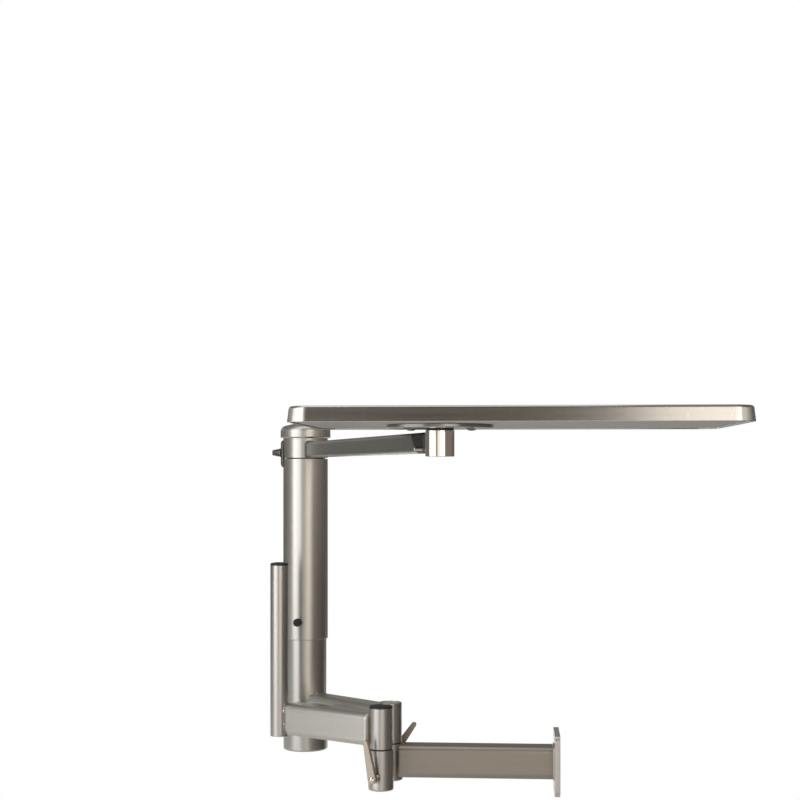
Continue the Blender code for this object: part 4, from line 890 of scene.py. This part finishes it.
class TABLE_OT_arm_head(bpy.types.Operator):
    """Collar that turns on the column, its domed cap and the pad that carries the plunger"""

    bl_idname = "table.arm_head"
    bl_label = "Arm head"

    def execute(self, context):
        place = at(COLUMN, ARM_BEARING)
        low, high = height_of("head_collar")
        radius = radius_of("head_collar")
        bore, skirt = radius - 6.0 * MM, high - 4.6 * MM
        joint_line = 0.05 * MM
        points = tube_points(radius, bore, low, skirt - joint_line, FAINT_EDGE)
        dress_turned("head_collar", points, place, satin_round())

        low, high = height_of("head_thrust_washer")
        points = tube_points(radius - 4.0 * MM, radius - 9.0 * MM, low, high, FAINT_EDGE)
        # The washer's bronze is painted dark, as shade in the joint line.
        dress_turned("head_thrust_washer", points, at(COLUMN), shaded_bronze())

        rim, top = radius_of("head_cap"), height_of("head_cap")[1] + 1.6 * MM
        ledge, shoulder, inside = skirt + 2.6 * MM, top - 7.0 * MM, top - 12.0 * MM
        flat, crown_round, shoulder_round = 12.0 * MM, 30.0 * MM, 9.0 * MM
        under_round, ledge_round = 2.4 * MM, 0.8 * MM
        points = [(0.0, top), (flat, top, crown_round), (rim, shoulder, shoulder_round),
                  (rim, ledge, under_round), (radius, ledge, ledge_round), (radius, skirt), (bore, skirt),
                  (bore, inside), (0.0, inside)]
        dress_turned("head_cap", points, place, satin_round())
        self.pad(radius)
        return {"FINISHED"}

    def pad(self, collar):
        """The crowned pad of the plunger, hollowed to fit the collar."""
        left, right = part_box("plunger_pad")
        low, high = height_of("plunger_pad")
        corner, overlap = 7.0 * MM, 5.0 * MM
        outer = COLUMN.x - left.x - 1.6 * MM
        crown, side = 5.0 * MM, 6.0 * MM
        past = 10.0 * MM
        profile = ((low + high) / 2.0, right.y - left.y, high - low, corner)
        loops = [upright_loop(collar - overlap, *profile)]
        loops += [upright_loop(outer - crown * depth, *profile, side * inset)
                  for inset, depth in from_side(1.0)]
        pad = dress_lofted("plunger_pad", loops, at(COLUMN, math.pi), cast_pad())
        carve(pad, rod_mesh(collar + GAP, low - past, high + past, sizes().round_segments), at(COLUMN))


class TABLE_OT_plunger(bpy.types.Operator):
    """Pull knob of the index plunger, tapered and ringed for grip"""

    bl_idname = "table.plunger"
    bl_label = "Plunger"

    def execute(self, context):
        low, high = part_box("plunger_knob")
        root_x, tip_x = COLUMN.x - high.x - 1.4 * MM, COLUMN.x - low.x
        root, tip, pin = (high.z - low.z) / 2.0, 4.0 * MM, 2.3 * MM
        tip_round, root_land = 1.4 * MM, 1.2 * MM
        grooves, taper, lead, spare = 4, 0.8, 0.9, 1.2
        depth, half_floor, floor_edge = 0.5 * MM, 0.3 * MM, 0.15 * MM
        outer_lip, inner_lip, lip_rise = 0.9 * MM, 0.8 * MM, 0.1 * MM
        points = [(0.0, tip_x), (tip, tip_x, tip_round)]
        for groove in range(grooves):
            share = (groove + lead) / (grooves + spare)
            radius = tip + (root - tip) * share ** taper
            station = tip_x - (tip_x - root_x) * share
            points += [(radius, station + outer_lip, SLIGHT_EDGE),
                       (radius - depth, station + half_floor, floor_edge),
                       (radius - depth, station - half_floor, floor_edge),
                       (radius + lip_rise, station - inner_lip, SLIGHT_EDGE)]
        points += [(root, root_x + root_land, SMALL_EDGE), (root, root_x, FINE_EDGE), (pin, root_x),
                   (0.0, root_x)]
        place = facing(COLUMN, math.pi, (low.z + high.z) / 2.0)
        dress_turned("plunger_knob", points, place, dark_machined(), small=True)
        return {"FINISHED"}


class TABLE_OT_column(bpy.types.Operator):
    """Telescoping column: outer tube, inner tube and foot"""

    bl_idname = "table.column"
    bl_label = "Column"

    def execute(self, context):
        low, high = height_of("column_outer_tube")
        outer, inner = radius_of("column_outer_tube"), radius_of("column_inner_tube")
        bore, end_round = inner + GAP, 1.6 * MM
        middle = (low + high) / 2.0
        points = [(outer, middle), (outer, high, SMALL_EDGE), (bore, high), (bore, low),
                  (outer, low, end_round), (outer, middle)]
        dress_turned("column_outer_tube", points, at(COLUMN), satin_round())

        low, high = height_of("column_inner_tube")
        wall = 3.0 * MM
        points = tube_points(inner, inner - wall, low, high, FINE_EDGE)
        dress_turned("column_inner_tube", points, at(COLUMN), satin_round())

        low, rim = height_of("column_foot_cap")[0], height_of("rear_bar")[0] - GAP
        cup, inside, foot_round = inner + 2.0 * MM, inner - 4.0 * MM, 3.0 * MM
        points = [(inside, rim), (cup, rim, SMALL_EDGE), (cup, low, foot_round), (0.0, low)]
        dress_turned("column_foot_cap", points, at(COLUMN), satin_round())
        return {"FINISHED"}


class TABLE_OT_height_clamp(bpy.types.Operator):
    """Black thumb knob of the height clamp and the welded boss behind it"""

    bl_idname = "table.height_clamp"
    bl_label = "Height clamp"

    def execute(self, context):
        place = facing(COLUMN, bearing_of("height_knob_turn"), JOINTS["height_knob_turn"]["pos_m"][2])
        outer = radius_of("column_outer_tube")
        boss, boss_root, boss_top = 5.75 * MM, outer - 1.5 * MM, outer + GAP + 3.0 * MM
        points = [(0.0, boss_top), (boss, boss_top, SOFT_EDGE), (boss, boss_root), (0.0, boss_root)]
        dress_turned("height_clamp_boss", points, place, satin_round(), small=True)

        low = boss_top + GAP
        high = low + 11.0 * MM
        knob, nose = 6.25 * MM, 2.0 * MM
        root_inset, root_rise = 0.8 * MM, 0.6 * MM
        count, ridges, ridge = 96, 16, 0.45 * MM

        def ring(radius, height, depth):
            return polar_loop(height, count, lambda a: radius - depth * (0.5 + 0.5 * math.cos(ridges * a)))

        loops = [ring(knob - root_inset, low, 0.0), ring(knob, low + root_rise, ridge)]
        for inset, depth in from_side(nose):
            loops.append(ring(knob - inset, high - depth, ridge * max(0.0, 1.0 - inset / MM)))
        dress_lofted("height_knob", loops, place, black_moulding())
        return {"FINISHED"}


class TABLE_OT_bars(bpy.types.Operator):
    """Rounded rectangular bars that carry the column and the post, with their welds"""

    bl_idname = "table.bars"
    bl_label = "Bars"

    def execute(self, context):
        low, high = height_of("rear_bar")
        place = at(REAR_PIVOT, REAR_BEARING)
        tube, cut_edge = radius_of("column_inner_tube"), FINE_EDGE
        loops = bar_loops(REAR_REACH - tube / 2.0, (low + high) / 2.0, cut_edge)
        dress_lofted("rear_bar", loops, place, satin_along())
        rear_weld = (place, tube, high)

        low, high = height_of("front_bar")
        place = at(FRONT_PIVOT, sizes().front_bearing)
        centre = centre_of("accessory_post")
        post = place.inverted() @ Vector((centre.x, centre.y, 0.0))
        end, end_round = post.x - 12.5 * MM, 4.0 * MM
        dress_lofted("front_bar", bar_loops(end, (low + high) / 2.0, end_round), place, satin_along())

        self.column_weld(*rear_weld)
        self.post_weld(place, post, end, low, high)
        return {"FINISHED"}

    def column_weld(self, place, tube, top):
        """The bead and tack where the column stands through the rear bar."""
        steps, share, fullness = 30, 0.72, 0.55
        half = sizes().bar_width / 2.0 * share
        tack, tack_side, tack_rise = 2.6 * MM, 4.0 * MM, 0.2 * MM
        path = []
        for step in range(steps + 1):
            y = -half + step / steps * half * 2.0
            path.append(Vector((REAR_REACH - math.sqrt(tube ** 2 - y ** 2), y, top)))
        bead_out, tack_out = Vector((-0.7, 0.0, 1.0)), Vector((-0.6, 0.0, 1.0))
        bm = bmesh.new()
        add_bead(bm, path, [bead_out] * len(path), sizes().weld_size * fullness)
        add_tack(bm, Vector((REAR_REACH - tube, tack_side, top + tack_rise)), tack_out, tack)
        add_piece("column_weld", bm, place, satin_round(), "table_arm")

    def post_weld(self, place, post, end, low, high):
        """Two tacks down the seam of the post, and the bead over the bar's upper corner."""
        half, corner = sizes().bar_width / 2.0, sizes().bar_corner
        steps, fullness, slide, lean = 16, 0.9, 3.0 * MM, 0.8
        upper_tack, upper_drop, upper_out = 3.4 * MM, 11.0 * MM, 0.4 * MM
        lower_tack, lower_rise, lower_out = 2.4 * MM, 17.5 * MM, 0.3 * MM
        reach = math.sqrt(max(radius_of("accessory_post") ** 2 - (post.x - end) ** 2, 0.0))
        seam = min(post.y + reach, half)
        out = Vector((-0.5, 1.0, 0.0))
        bm = bmesh.new()
        add_tack(bm, Vector((end + upper_out, seam, high - upper_drop)), out, upper_tack)
        add_tack(bm, Vector((end + lower_out, seam, low + lower_rise)), out, lower_tack)
        path, normals = [], []
        for step in range(steps + 1):
            angle = step / steps * QUARTER_TURN
            y = half - corner + corner * math.cos(angle) - step / steps * slide
            path.append(Vector((end, y, high - corner + corner * math.sin(angle))))
            normals.append(Vector((lean, math.cos(angle), math.sin(angle))))
        add_bead(bm, path, normals, sizes().weld_size * fullness)
        add_piece("post_weld", bm, place, satin_round(), "accessory_arm")


class TABLE_OT_post(bpy.types.Operator):
    """Bare round post and its black cap"""

    bl_idname = "table.post"
    bl_label = "Accessory post"

    def execute(self, context):
        low, high = height_of("accessory_post")
        radius, wall = radius_of("accessory_post"), 2.0 * MM
        place = at(centre_of("accessory_post"))
        points = tube_points(radius, radius - wall, low, high, SOFT_EDGE)
        dress_turned("accessory_post", points, place, satin_round())

        top, seat = height_of("post_cap")[1], high + GAP
        plug, plug_end = radius - 2.4 * MM, seat - 8.0 * MM
        flat, dome, crown_round, rim_round = radius * 0.5, 1.4 * MM, 20.0 * MM, 1.3 * MM
        points = [(0.0, top), (flat, top, crown_round), (radius, top - dome, rim_round),
                  (radius, seat, SLIGHT_EDGE), (plug, seat), (plug, plug_end), (0.0, plug_end)]
        dress_turned("post_cap", points, place, black_moulding())
        return {"FINISHED"}


class TABLE_OT_barrels(bpy.types.Operator):
    """Pivot barrels of both bars: lower cups, washers, upper barrels and caps"""

    bl_idname = "table.barrels"
    bl_label = "Pivot barrels"

    def execute(self, context):
        for side, point in (("rear", REAR_PIVOT), ("front", FRONT_PIVOT)):
            self.lower(side, point)
            self.upper(side, point)
        return {"FINISHED"}

    def lower(self, side, point):
        """Lower cup with a spot face under the lever, and the black washer on it."""
        node, lever = side + "_lower_barrel", side + "_lever_turn"
        low, high = height_of(node)
        radius, bore, floor = radius_of(node), 12.6 * MM, high - 20.0 * MM
        foot_round = 2.5 * MM
        spot, spot_depth, past = 7.5 * MM, 1.5 * MM, 5.0 * MM
        points = [(0.0, floor), (bore, floor), (bore, high), (radius, high, SOFT_EDGE),
                  (radius, low, foot_round), (0.0, low)]
        barrel = dress_turned(node, points, at(point), satin_round())
        cutter = rod_mesh(spot, radius - spot_depth, radius + past, sizes().small_segments)
        carve(barrel, cutter, facing(point, bearing_of(lever), JOINTS[lever]["pos_m"][2]))

        node = side + "_thrust_washer"
        low, high = height_of(node)
        radius = radius_of(node)
        points = [(SPINDLE_HOLE, high), (radius, high, SLIGHT_EDGE), (radius, low, SLIGHT_EDGE),
                  (SPINDLE_HOLE, low), (SPINDLE_HOLE, high)]
        dress_turned(node, points, at(point), black_moulding())

    def upper(self, side, point):
        """Upper barrel and its cap: a flush steel disc at the rear, a black moulding at the front."""
        node = side + "_upper_barrel"
        low, high = height_of(node)
        radius = radius_of(node)
        seat, seat_floor, recess = radius - 3.0 * MM, high - 4.0 * MM, low + 2.0 * MM
        rim_round = 0.6 * MM
        points = [(0.0, seat_floor), (seat, seat_floor), (seat, high, FINE_EDGE), (radius, high, rim_round),
                  (radius, low, SOFT_EDGE), (SPINDLE_HOLE, low), (SPINDLE_HOLE, recess), (0.0, recess)]
        dress_turned(node, points, at(point), satin_round())

        node = side + "_barrel_cap"
        low, top = height_of(node)
        plug = seat - GAP
        if side == "rear":
            flat, fall = 4.0 * MM, 0.3 * MM
            points = [(0.0, top), (flat, top), (plug, top - fall, FINE_EDGE), (plug, low), (0.0, low)]
            dress_turned(node, points, at(point), turned_bright())
            return
        rim, draft, dome = high + GAP, 0.2 * MM, 1.0 * MM
        flat, crown_round = radius * 0.6, 30.0 * MM
        points = [(0.0, top), (flat, top, crown_round), (radius - draft, top - dome, dome),
                  (radius, rim, SLIGHT_EDGE), (plug, rim), (plug, low), (0.0, low)]
        dress_turned(node, points, at(point), black_moulding())


class TABLE_OT_levers(bpy.types.Operator):
    """Clamp levers: flat tapered handles on studs with domed heads"""

    bl_idname = "table.levers"
    bl_label = "Clamp levers"

    def execute(self, context):
        front_lean, rear_lean = math.radians(11.0), math.radians(35.0)
        for side, point, lean in (("front", FRONT_PIVOT, front_lean), ("rear", REAR_PIVOT, rear_lean)):
            joint = side + "_lever_turn"
            level = at(point, bearing_of(joint), JOINTS[joint]["pos_m"][2])
            place = level @ Matrix.Rotation(lean, 4, "X")
            self.handle(side, place)
            self.stud(side, place @ Matrix.Rotation(QUARTER_TURN, 4, "Y"))
        return {"FINISHED"}

    def handle(self, side, place):
        """The flat tapered handle, standing along local Z, its faces along X."""
        hub, tip = 6.5 * MM, 3.6 * MM
        span = sizes().lever_length - tip
        inner, outer, edge = 27.0 * MM, 34.0 * MM, 1.3 * MM
        steps = 20

        def outline(inset):
            big, small = hub - inset, tip - inset
            tangent = math.asin((big - small) / span)
            points = []
            for step in range(steps + 1):
                angle = tangent + (math.pi - 2.0 * tangent) * step / steps
                points.append((small * math.cos(angle), span + small * math.sin(angle)))
            for step in range(steps + 1):
                angle = math.pi - tangent + (math.pi + 2.0 * tangent) * step / steps
                points.append((big * math.cos(angle), big * math.sin(angle)))
            return points

        dress_lofted(side + "_lever_handle", block_loops(outline, inner, outer, edge), place, cast_handle())

    def stud(self, side, place):
        """The stud with its collar and domed head, turned about local Z."""
        stud, hub, head = 4.0 * MM, 6.5 * MM, 4.5 * MM
        end, seat, collar, face, top = 13.0 * MM, 17.3 * MM, 26.7 * MM, 34.3 * MM, 36.9 * MM
        flat, crown_round, rim, rim_round = head * 0.4, 6.0 * MM, face + 1.0 * MM, 0.8 * MM
        points = [(0.0, top), (flat, top, crown_round), (head, rim, rim_round), (head, face), (stud, face),
                  (stud, collar), (hub, collar, SOFT_EDGE), (hub, seat, SMALL_EDGE), (stud, seat),
                  (stud, end), (0.0, end)]
        dress_turned(side + "_lever_stud", points, place, turned_bright(), small=True)


class TABLE_OT_base(bpy.types.Operator):
    """Base arm, the bridge between the barrels and the bolted flange"""

    bl_idname = "table.base"
    bl_label = "Base"

    def execute(self, context):
        low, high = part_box("base_flange")
        end = -REAR_PIVOT.x - (high.x - low.x)
        dress_lofted("base_arm", bar_loops(end), at(REAR_PIVOT), base_tube())
        self.flange(low, high)
        self.weld(end)

        across = FRONT_PIVOT - REAR_PIVOT
        width, height, corner, start = 16.0 * MM, 30.0 * MM, 4.0 * MM, 13.0 * MM
        loops = [upright_loop(x, 0.0, width, height, corner) for x in (start, across.length - start)]
        place = at(REAR_PIVOT, math.atan2(across.y, across.x))
        dress_lofted("barrel_bridge", loops, place, satin_along())
        return {"FINISHED"}

    def flange(self, low, high):
        """The square flange plate with its four countersunk bolt holes."""
        plate, corner, edge = high.y - low.y, 10.0 * MM, 0.8 * MM
        spacing, hole, mouth = 33.0 * MM, 4.5 * MM, 5.6 * MM
        outside, sink_top, sink_floor, through = 5.0 * MM, 0.1 * MM, -0.9 * MM, -20.0 * MM

        def outline(inset):
            return rounded_rectangle(plate, plate, corner, inset)

        flange = dress_lofted("base_flange", block_loops(outline, low.x, high.x, edge), Matrix.Identity(4),
                              satin_along())
        sink = [(0.0, outside), (mouth, outside), (mouth, sink_top), (hole, sink_floor), (hole, through),
                (0.0, through)]
        for y in (-spacing, spacing):
            for z in (-spacing, spacing):
                place = Matrix.Translation((0.0, y, z)) @ Matrix.Rotation(QUARTER_TURN, 4, "Y")
                carve(flange, turned_mesh(sink, sizes().small_segments), place)

    def weld(self, end):
        """The bead all round the base arm where it meets the flange."""
        size = sizes()
        room, setback, lean = 1.0 * MM, 0.2 * MM, -0.015
        corner_steps, spacing, fullness = 8, 1.0 * MM, 1.4
        ring = rounded_rectangle(size.bar_width + room, size.bar_height + room, size.bar_corner,
                                 steps=corner_steps)
        path, normals = [], []
        for here, there in zip(ring, ring[1:] + ring[:1]):
            a, b = Vector((end - setback, *here)), Vector((end - setback, *there))
            cuts = max(1, int((b - a).length / spacing))
            for cut in range(cuts):
                path.append(a.lerp(b, cut / cuts))
                normals.append(Vector((lean, *here)).lerp(Vector((lean, *there)), cut / cuts))
        bm = bmesh.new()
        add_bead(bm, path, normals, size.weld_size * fullness)
        add_piece("flange_weld", bm, at(REAR_PIVOT), satin_round(), "base")


class TABLE_OT_inner_fittings(bpy.types.Operator):
    """Finishes of the bushes, spindles and other pieces inside the joints"""

    bl_idname = "table.inner_fittings"
    bl_label = "Inner fittings"

    def execute(self, context):
        finish_of = {"brushed_steel": satin_round, "polished_steel": turned_bright,
                     "dark_steel": dark_machined, "bronze": sintered_bronze,
                     "black_plastic": black_moulding, "core_board": core_board}
        for node, slot in SLOT_OF.items():
            mesh = frame["nodes"][node].data
            mesh.materials.clear()
            mesh.materials.append(finish_of[slot]())
        return {"FINISHED"}


class TABLE_OT_stage(bpy.types.Operator):
    """Pale floor, soft lights, reflection cards and the camera"""

    bl_idname = "table.stage"
    bl_label = "Stage"

    white = (1.0, 1.0, 1.0, 1.0)
    middle = (-0.2, -0.25)
    floor_level = -0.60
    # Name, place, the point it looks at, width and height in metres, power in watts, colour.
    lamps = (
        ("key_softbox", (-1.78, -1.527, 1.10), (-0.864, 0.249, 1.10), 1.76, 2.7, 27.0, "FFFFFF"),
        ("side_softbox", (-1.45, -0.75, 0.60), (0.0, -0.75, 0.60), 0.40, 0.9, 1.4, "FFFFFF"),
        ("fill_softbox", (1.26, -3.45, 1.20), (-0.17, -0.40, 1.20), 2.00, 2.4, 31.0, "FFF8F0"),
        ("back_strip", (-0.92, 2.55, -0.20), (-0.30, 0.0, -0.20), 0.30, 0.7, 3.2, "FFFFFF"),
        ("top_softbox", (-0.6, -0.5, 2.6), (-0.6, -0.5, 0.0), 1.6, 1.6, 12.0, "FFFFFF"),
    )

    def execute(self, context):
        scene = context.scene
        scene.view_settings.view_transform = "Standard"
        self.world(scene)
        self.floor()
        self.walls()
        self.dark_card()
        for lamp in self.lamps:
            self.softbox(*lamp)
        self.camera(scene)
        return {"FINISHED"}

    def seen(self, tree):
        """1 for what the eye, reflections and glass show, 0 for the light on the object."""
        path = add_node(tree, "ShaderNodeLightPath")
        seen = path.outputs["Is Camera Ray"]
        for ray in ("Is Glossy Ray", "Is Transmission Ray"):
            either = add_node(tree, "ShaderNodeMath", {0: seen, 1: path.outputs[ray]}, operation="MAXIMUM")
            seen = either.outputs[0]
        return seen

    def world(self, scene):
        """White to the eye and in reflections, soft grey light elsewhere."""
        soft_light, full_white = 0.55, 1.0
        world = bpy.data.worlds.new("studio")
        world.use_nodes = True
        scene.world = world
        tree = world.node_tree
        tree.nodes.clear()
        strength = add_node(tree, "ShaderNodeMapRange",
                            {"Value": self.seen(tree), "To Min": soft_light, "To Max": full_white})
        light = add_node(tree, "ShaderNodeBackground", {"Color": self.white, "Strength": strength.outputs[0]})
        add_node(tree, "ShaderNodeOutputWorld", {"Surface": light.outputs[0]})

    def floor(self):
        """A pale floor that fades into the white surround, so that it has no edge."""
        radius, fade_start, fade_end = 3.0, 1.0, 2.7
        bm = bmesh.new()
        bmesh.ops.create_circle(bm, cap_ends=True, segments=96, radius=radius)
        floor = linked("floor", bm, Matrix.Translation((*self.middle, self.floor_level)))
        material, tree = empty_material("matt_floor_paint")
        where = add_node(tree, "ShaderNodeTexCoord").outputs["Object"]
        away = add_node(tree, "ShaderNodeVectorMath", {0: where}, operation="LENGTH").outputs["Value"]
        fade = add_node(tree, "ShaderNodeMapRange",
                        {"Value": away, "From Min": fade_start, "From Max": fade_end},
                        interpolation_type="SMOOTHSTEP")
        share = add_node(tree, "ShaderNodeMath", {0: fade.outputs[0], 1: self.seen(tree)},
                         operation="MULTIPLY")
        paint = add_node(tree, "ShaderNodeBsdfPrincipled", {
            "Base Color": linear_colour(finishes().floor), "Roughness": 0.9})
        glow = add_node(tree, "ShaderNodeEmission", {"Color": self.white, "Strength": 1.0})
        mixed = add_node(tree, "ShaderNodeMixShader", {
            0: share.outputs[0], 1: paint.outputs["BSDF"], 2: glow.outputs[0]})
        add_node(tree, "ShaderNodeOutputMaterial", {"Surface": mixed.outputs[0]})
        floor.data.materials.append(material)

    def card_pairs(self, bm, reach, low, high, turns):
        """Draw an upright curved card by its angles from the viewer's side, and give its vertex pairs."""
        pairs = []
        for turn in turns:
            x, y = reach * math.sin(turn), -reach * math.cos(turn)
            pairs.append((bm.verts.new((x, y, low)), bm.verts.new((x, y, high))))
        for (a, b), (c, d) in zip(pairs, pairs[1:]):
            bm.faces.new((a, c, d, b))
        return pairs

    def reflected(self, card, material):
        """Finish a card that only reflections show."""
        card.data.materials.append(material)
        card.visible_camera = False
        card.visible_diffuse = False
        card.visible_shadow = False

    def walls(self):
        """Walls and a ceiling of glowing card, which only reflections show: pale bands on it are painted light,
        dark bands painted shade.
        """
        reach, ceiling, sides = 4.5, 3.0, 128
        bm = bmesh.new()
        turns = [FULL_TURN * side / sides for side in range(sides + 1)]
        pairs = self.card_pairs(bm, reach, self.floor_level, ceiling, turns)
        bm.faces.new([upper for _, upper in pairs[:-1]])
        walls = linked("card_walls", bm, Matrix.Translation((*self.middle, 0.0)))
        material, tree = empty_material("painted_reflection_card")
        where = add_node(tree, "ShaderNodeTexCoord").outputs["Object"]
        split = add_node(tree, "ShaderNodeSeparateXYZ", {"Vector": where})
        height = split.outputs["Z"]
        near = add_node(tree, "ShaderNodeMath", {0: split.outputs["Y"], 1: -1.0}, operation="MULTIPLY")
        turn = add_node(tree, "ShaderNodeMath", {0: split.outputs["X"], 1: near.outputs[0]},
                        operation="ARCTAN2")
        round_share = {"Value": turn.outputs[0], "From Min": -math.pi, "From Max": math.pi}
        share = add_node(tree, "ShaderNodeMapRange", round_share).outputs[0]
        # Degrees about Z from the viewer's side, positive to the right, with the colour of the painted reflection
        # there.
        left = [(-180, "747371"), (-146, "5D5C5A"), (-112, "545351"), (-88, "666562"), (-62, "AFADAA"),
                (-36, "838180")]
        behind = [(118, "524E4A"), (150, "4B4845"), (180, "747371")]
        low_down = self.shades(tree, share, left + [
            (-28, "706C67"), (1, "78726C"), (8, "C2B4A6"), (37, "C2B4A6"), (46, "524A44"), (76, "524A44"),
            (86, "6A5F58"), (110, "5E554F")] + behind)
        level = self.shades(tree, share, left + [
            (-16, "86837F"), (-11, "E0D6CB"), (24, "F2E6DA"), (32, "C4B6AA"), (39, "6A5F58"), (100, "665C55")]
            + behind)
        raised = self.shades(tree, share, [
            (-180, "60605E"), (-110, "60605E"), (-60, "81807E"), (-12, "62605D"), (-3, "45413D"),
            (5, "45413D"), (30, "8E8882"), (48, "77726D"), (80, "55524F"), (180, "60605E")])
        strip = self.shades(tree, share, [
            (-180, "60605E"), (-162, "60605E"), (-150, "9A9894"), (-98, "9A9894"), (-60, "A09E9A"),
            (-36, "D6D4D0"), (-23, "D6D4D0"), (-17, "62605D"), (-3, "36322E"), (14, "36322E"), (30, "8E8882"),
            (40, "F0E8DE"), (58, "EAE2D8"), (84, "A29A92"), (112, "5A5650"), (140, "504D49"),
            (180, "60605E")])
        # Heights in metres over which one row of shades gives way to the next.
        to_level = add_node(tree, "ShaderNodeMapRange",
                            {"Value": height, "From Min": -0.15, "From Max": 0.25},
                            interpolation_type="SMOOTHSTEP")
        to_raised = add_node(tree, "ShaderNodeMapRange",
                             {"Value": height, "From Min": 0.55, "From Max": 0.95},
                             interpolation_type="SMOOTHSTEP")
        above = add_node(tree, "ShaderNodeMapRange", {"Value": height, "From Min": 0.95, "From Max": 1.15})
        below = add_node(tree, "ShaderNodeMapRange", {"Value": height, "From Min": 1.75, "From Max": 1.55})
        on_strip = add_node(tree, "ShaderNodeMath", {0: above.outputs[0], 1: below.outputs[0]},
                            operation="MINIMUM")
        shade = low_down
        for part, row in ((to_level, level), (to_raised, raised), (on_strip, strip)):
            rows = {"Factor": part.outputs[0], "A": shade, "B": row}
            shade = add_node(tree, "ShaderNodeMix", rows, data_type="RGBA").outputs["Result"]
        # The walls glow brighter higher up: painted light that fades towards the floor.
        rising = {"Value": height, "From Min": -0.5, "From Max": 0.45, "To Min": 0.8, "To Max": 2.2}
        strength = add_node(tree, "ShaderNodeMapRange", rising)
        glow = add_node(tree, "ShaderNodeEmission", {"Color": shade, "Strength": strength.outputs[0]})
        add_node(tree, "ShaderNodeOutputMaterial", {"Surface": glow.outputs[0]})
        self.reflected(walls, material)

    def dark_card(self):
        """A low dark card that only reflections show: it shades the right side of the lower steel."""
        reach, top, steps = 1.3, 0.0, 48
        start, end = math.radians(20.0), math.radians(142.0)
        centre = (-0.25, -0.05, 0.0)
        bm = bmesh.new()
        turns = [start + (end - start) * step / steps for step in range(steps + 1)]
        self.card_pairs(bm, reach, self.floor_level, top, turns)
        card = linked("dark_card", bm, Matrix.Translation(centre))
        material, tree = empty_material("black_card")
        glow = add_node(tree, "ShaderNodeEmission", {"Color": linear_colour("3A3531"), "Strength": 1.0})
        add_node(tree, "ShaderNodeOutputMaterial", {"Surface": glow.outputs[0]})
        self.reflected(card, material)

    def shades(self, tree, share, stops):
        """The colour of a ramp of painted reflection colours by direction."""
        ramp = add_node(tree, "ShaderNodeValToRGB", {"Fac": share})
        elements = ramp.color_ramp.elements
        for _ in stops[2:]:
            elements.new(0.5)
        for element, (degrees, _) in zip(elements, stops):
            element.position = (degrees + 180.0) / 360.0
        for element, (_, shade) in zip(elements, stops):
            element.color = linear_colour(shade)
        return ramp.outputs["Color"]

    def softbox(self, name, place, target, width, height, power, hex_colour):
        """One soft rectangular light that looks at a point."""
        light = bpy.data.lights.new(name, "AREA")
        light.shape = "RECTANGLE"
        light.size = width
        light.size_y = height
        light.energy = power
        light.color = linear_colour(hex_colour)[:3]
        lamp = bpy.data.objects.new(name, light)
        bpy.context.scene.collection.objects.link(lamp)
        lamp.location = place
        lamp.rotation_euler = (Vector(target) - Vector(place)).to_track_quat("-Z", "Y").to_euler()
        lamp.visible_camera = False

    def camera(self, scene):
        """A level view from the front, with the horizon low in the frame."""
        turn = math.radians(4.0)
        camera = bpy.data.cameras.new("camera")
        camera.lens = 69.75
        camera.sensor_width = 36.0
        camera.shift_y = 0.0875
        eye = bpy.data.objects.new("camera", camera)
        scene.collection.objects.link(eye)
        eye.location = (-0.0750, -2.2964, 0.430)
        eye.rotation_euler = (QUARTER_TURN, 0.0, turn)
        scene.camera = eye


class TABLE_PT_looks(bpy.types.Panel):
    """Sizes, finishes and pieces of the instrument table"""

    bl_idname = "TABLE_PT_looks"
    bl_label = "Instrument table"
    bl_space_type = "VIEW_3D"
    bl_region_type = "UI"
    bl_category = "Table"

    def draw(self, context):
        for group in (context.scene.table_sizes, context.scene.table_finishes):
            column = self.layout.column(align=True)
            for name in group.__annotations__:
                column.prop(group, name)
        for piece in PIECES:
            self.layout.operator(piece.bl_idname)


PIECES = (TABLE_OT_tray, TABLE_OT_tray_swivel, TABLE_OT_top_arm, TABLE_OT_arm_head, TABLE_OT_plunger,
          TABLE_OT_column, TABLE_OT_height_clamp, TABLE_OT_bars, TABLE_OT_post, TABLE_OT_barrels,
          TABLE_OT_levers, TABLE_OT_base, TABLE_OT_inner_fittings, TABLE_OT_stage)
CLASSES = (TableSizes, TableFinishes) + PIECES + (TABLE_PT_looks,)


def register():
    """Add the classes and their settings to Blender."""
    for item in CLASSES:
        bpy.utils.register_class(item)
    bpy.types.Scene.table_sizes = PointerProperty(type=TableSizes)
    bpy.types.Scene.table_finishes = PointerProperty(type=TableFinishes)


def unregister():
    """Take them out again."""
    del bpy.types.Scene.table_finishes
    del bpy.types.Scene.table_sizes
    for item in reversed(CLASSES):
        bpy.utils.unregister_class(item)


def main():
    """Register and build every piece."""
    register()
    bpy.ops.table.tray()
    bpy.ops.table.tray_swivel()
    bpy.ops.table.top_arm()
    bpy.ops.table.arm_head()
    bpy.ops.table.plunger()
    bpy.ops.table.column()
    bpy.ops.table.height_clamp()
    bpy.ops.table.bars()
    bpy.ops.table.post()
    bpy.ops.table.barrels()
    bpy.ops.table.levers()
    bpy.ops.table.base()
    bpy.ops.table.inner_fittings()
    bpy.ops.table.stage()


if __name__ == "__main__":
    main()
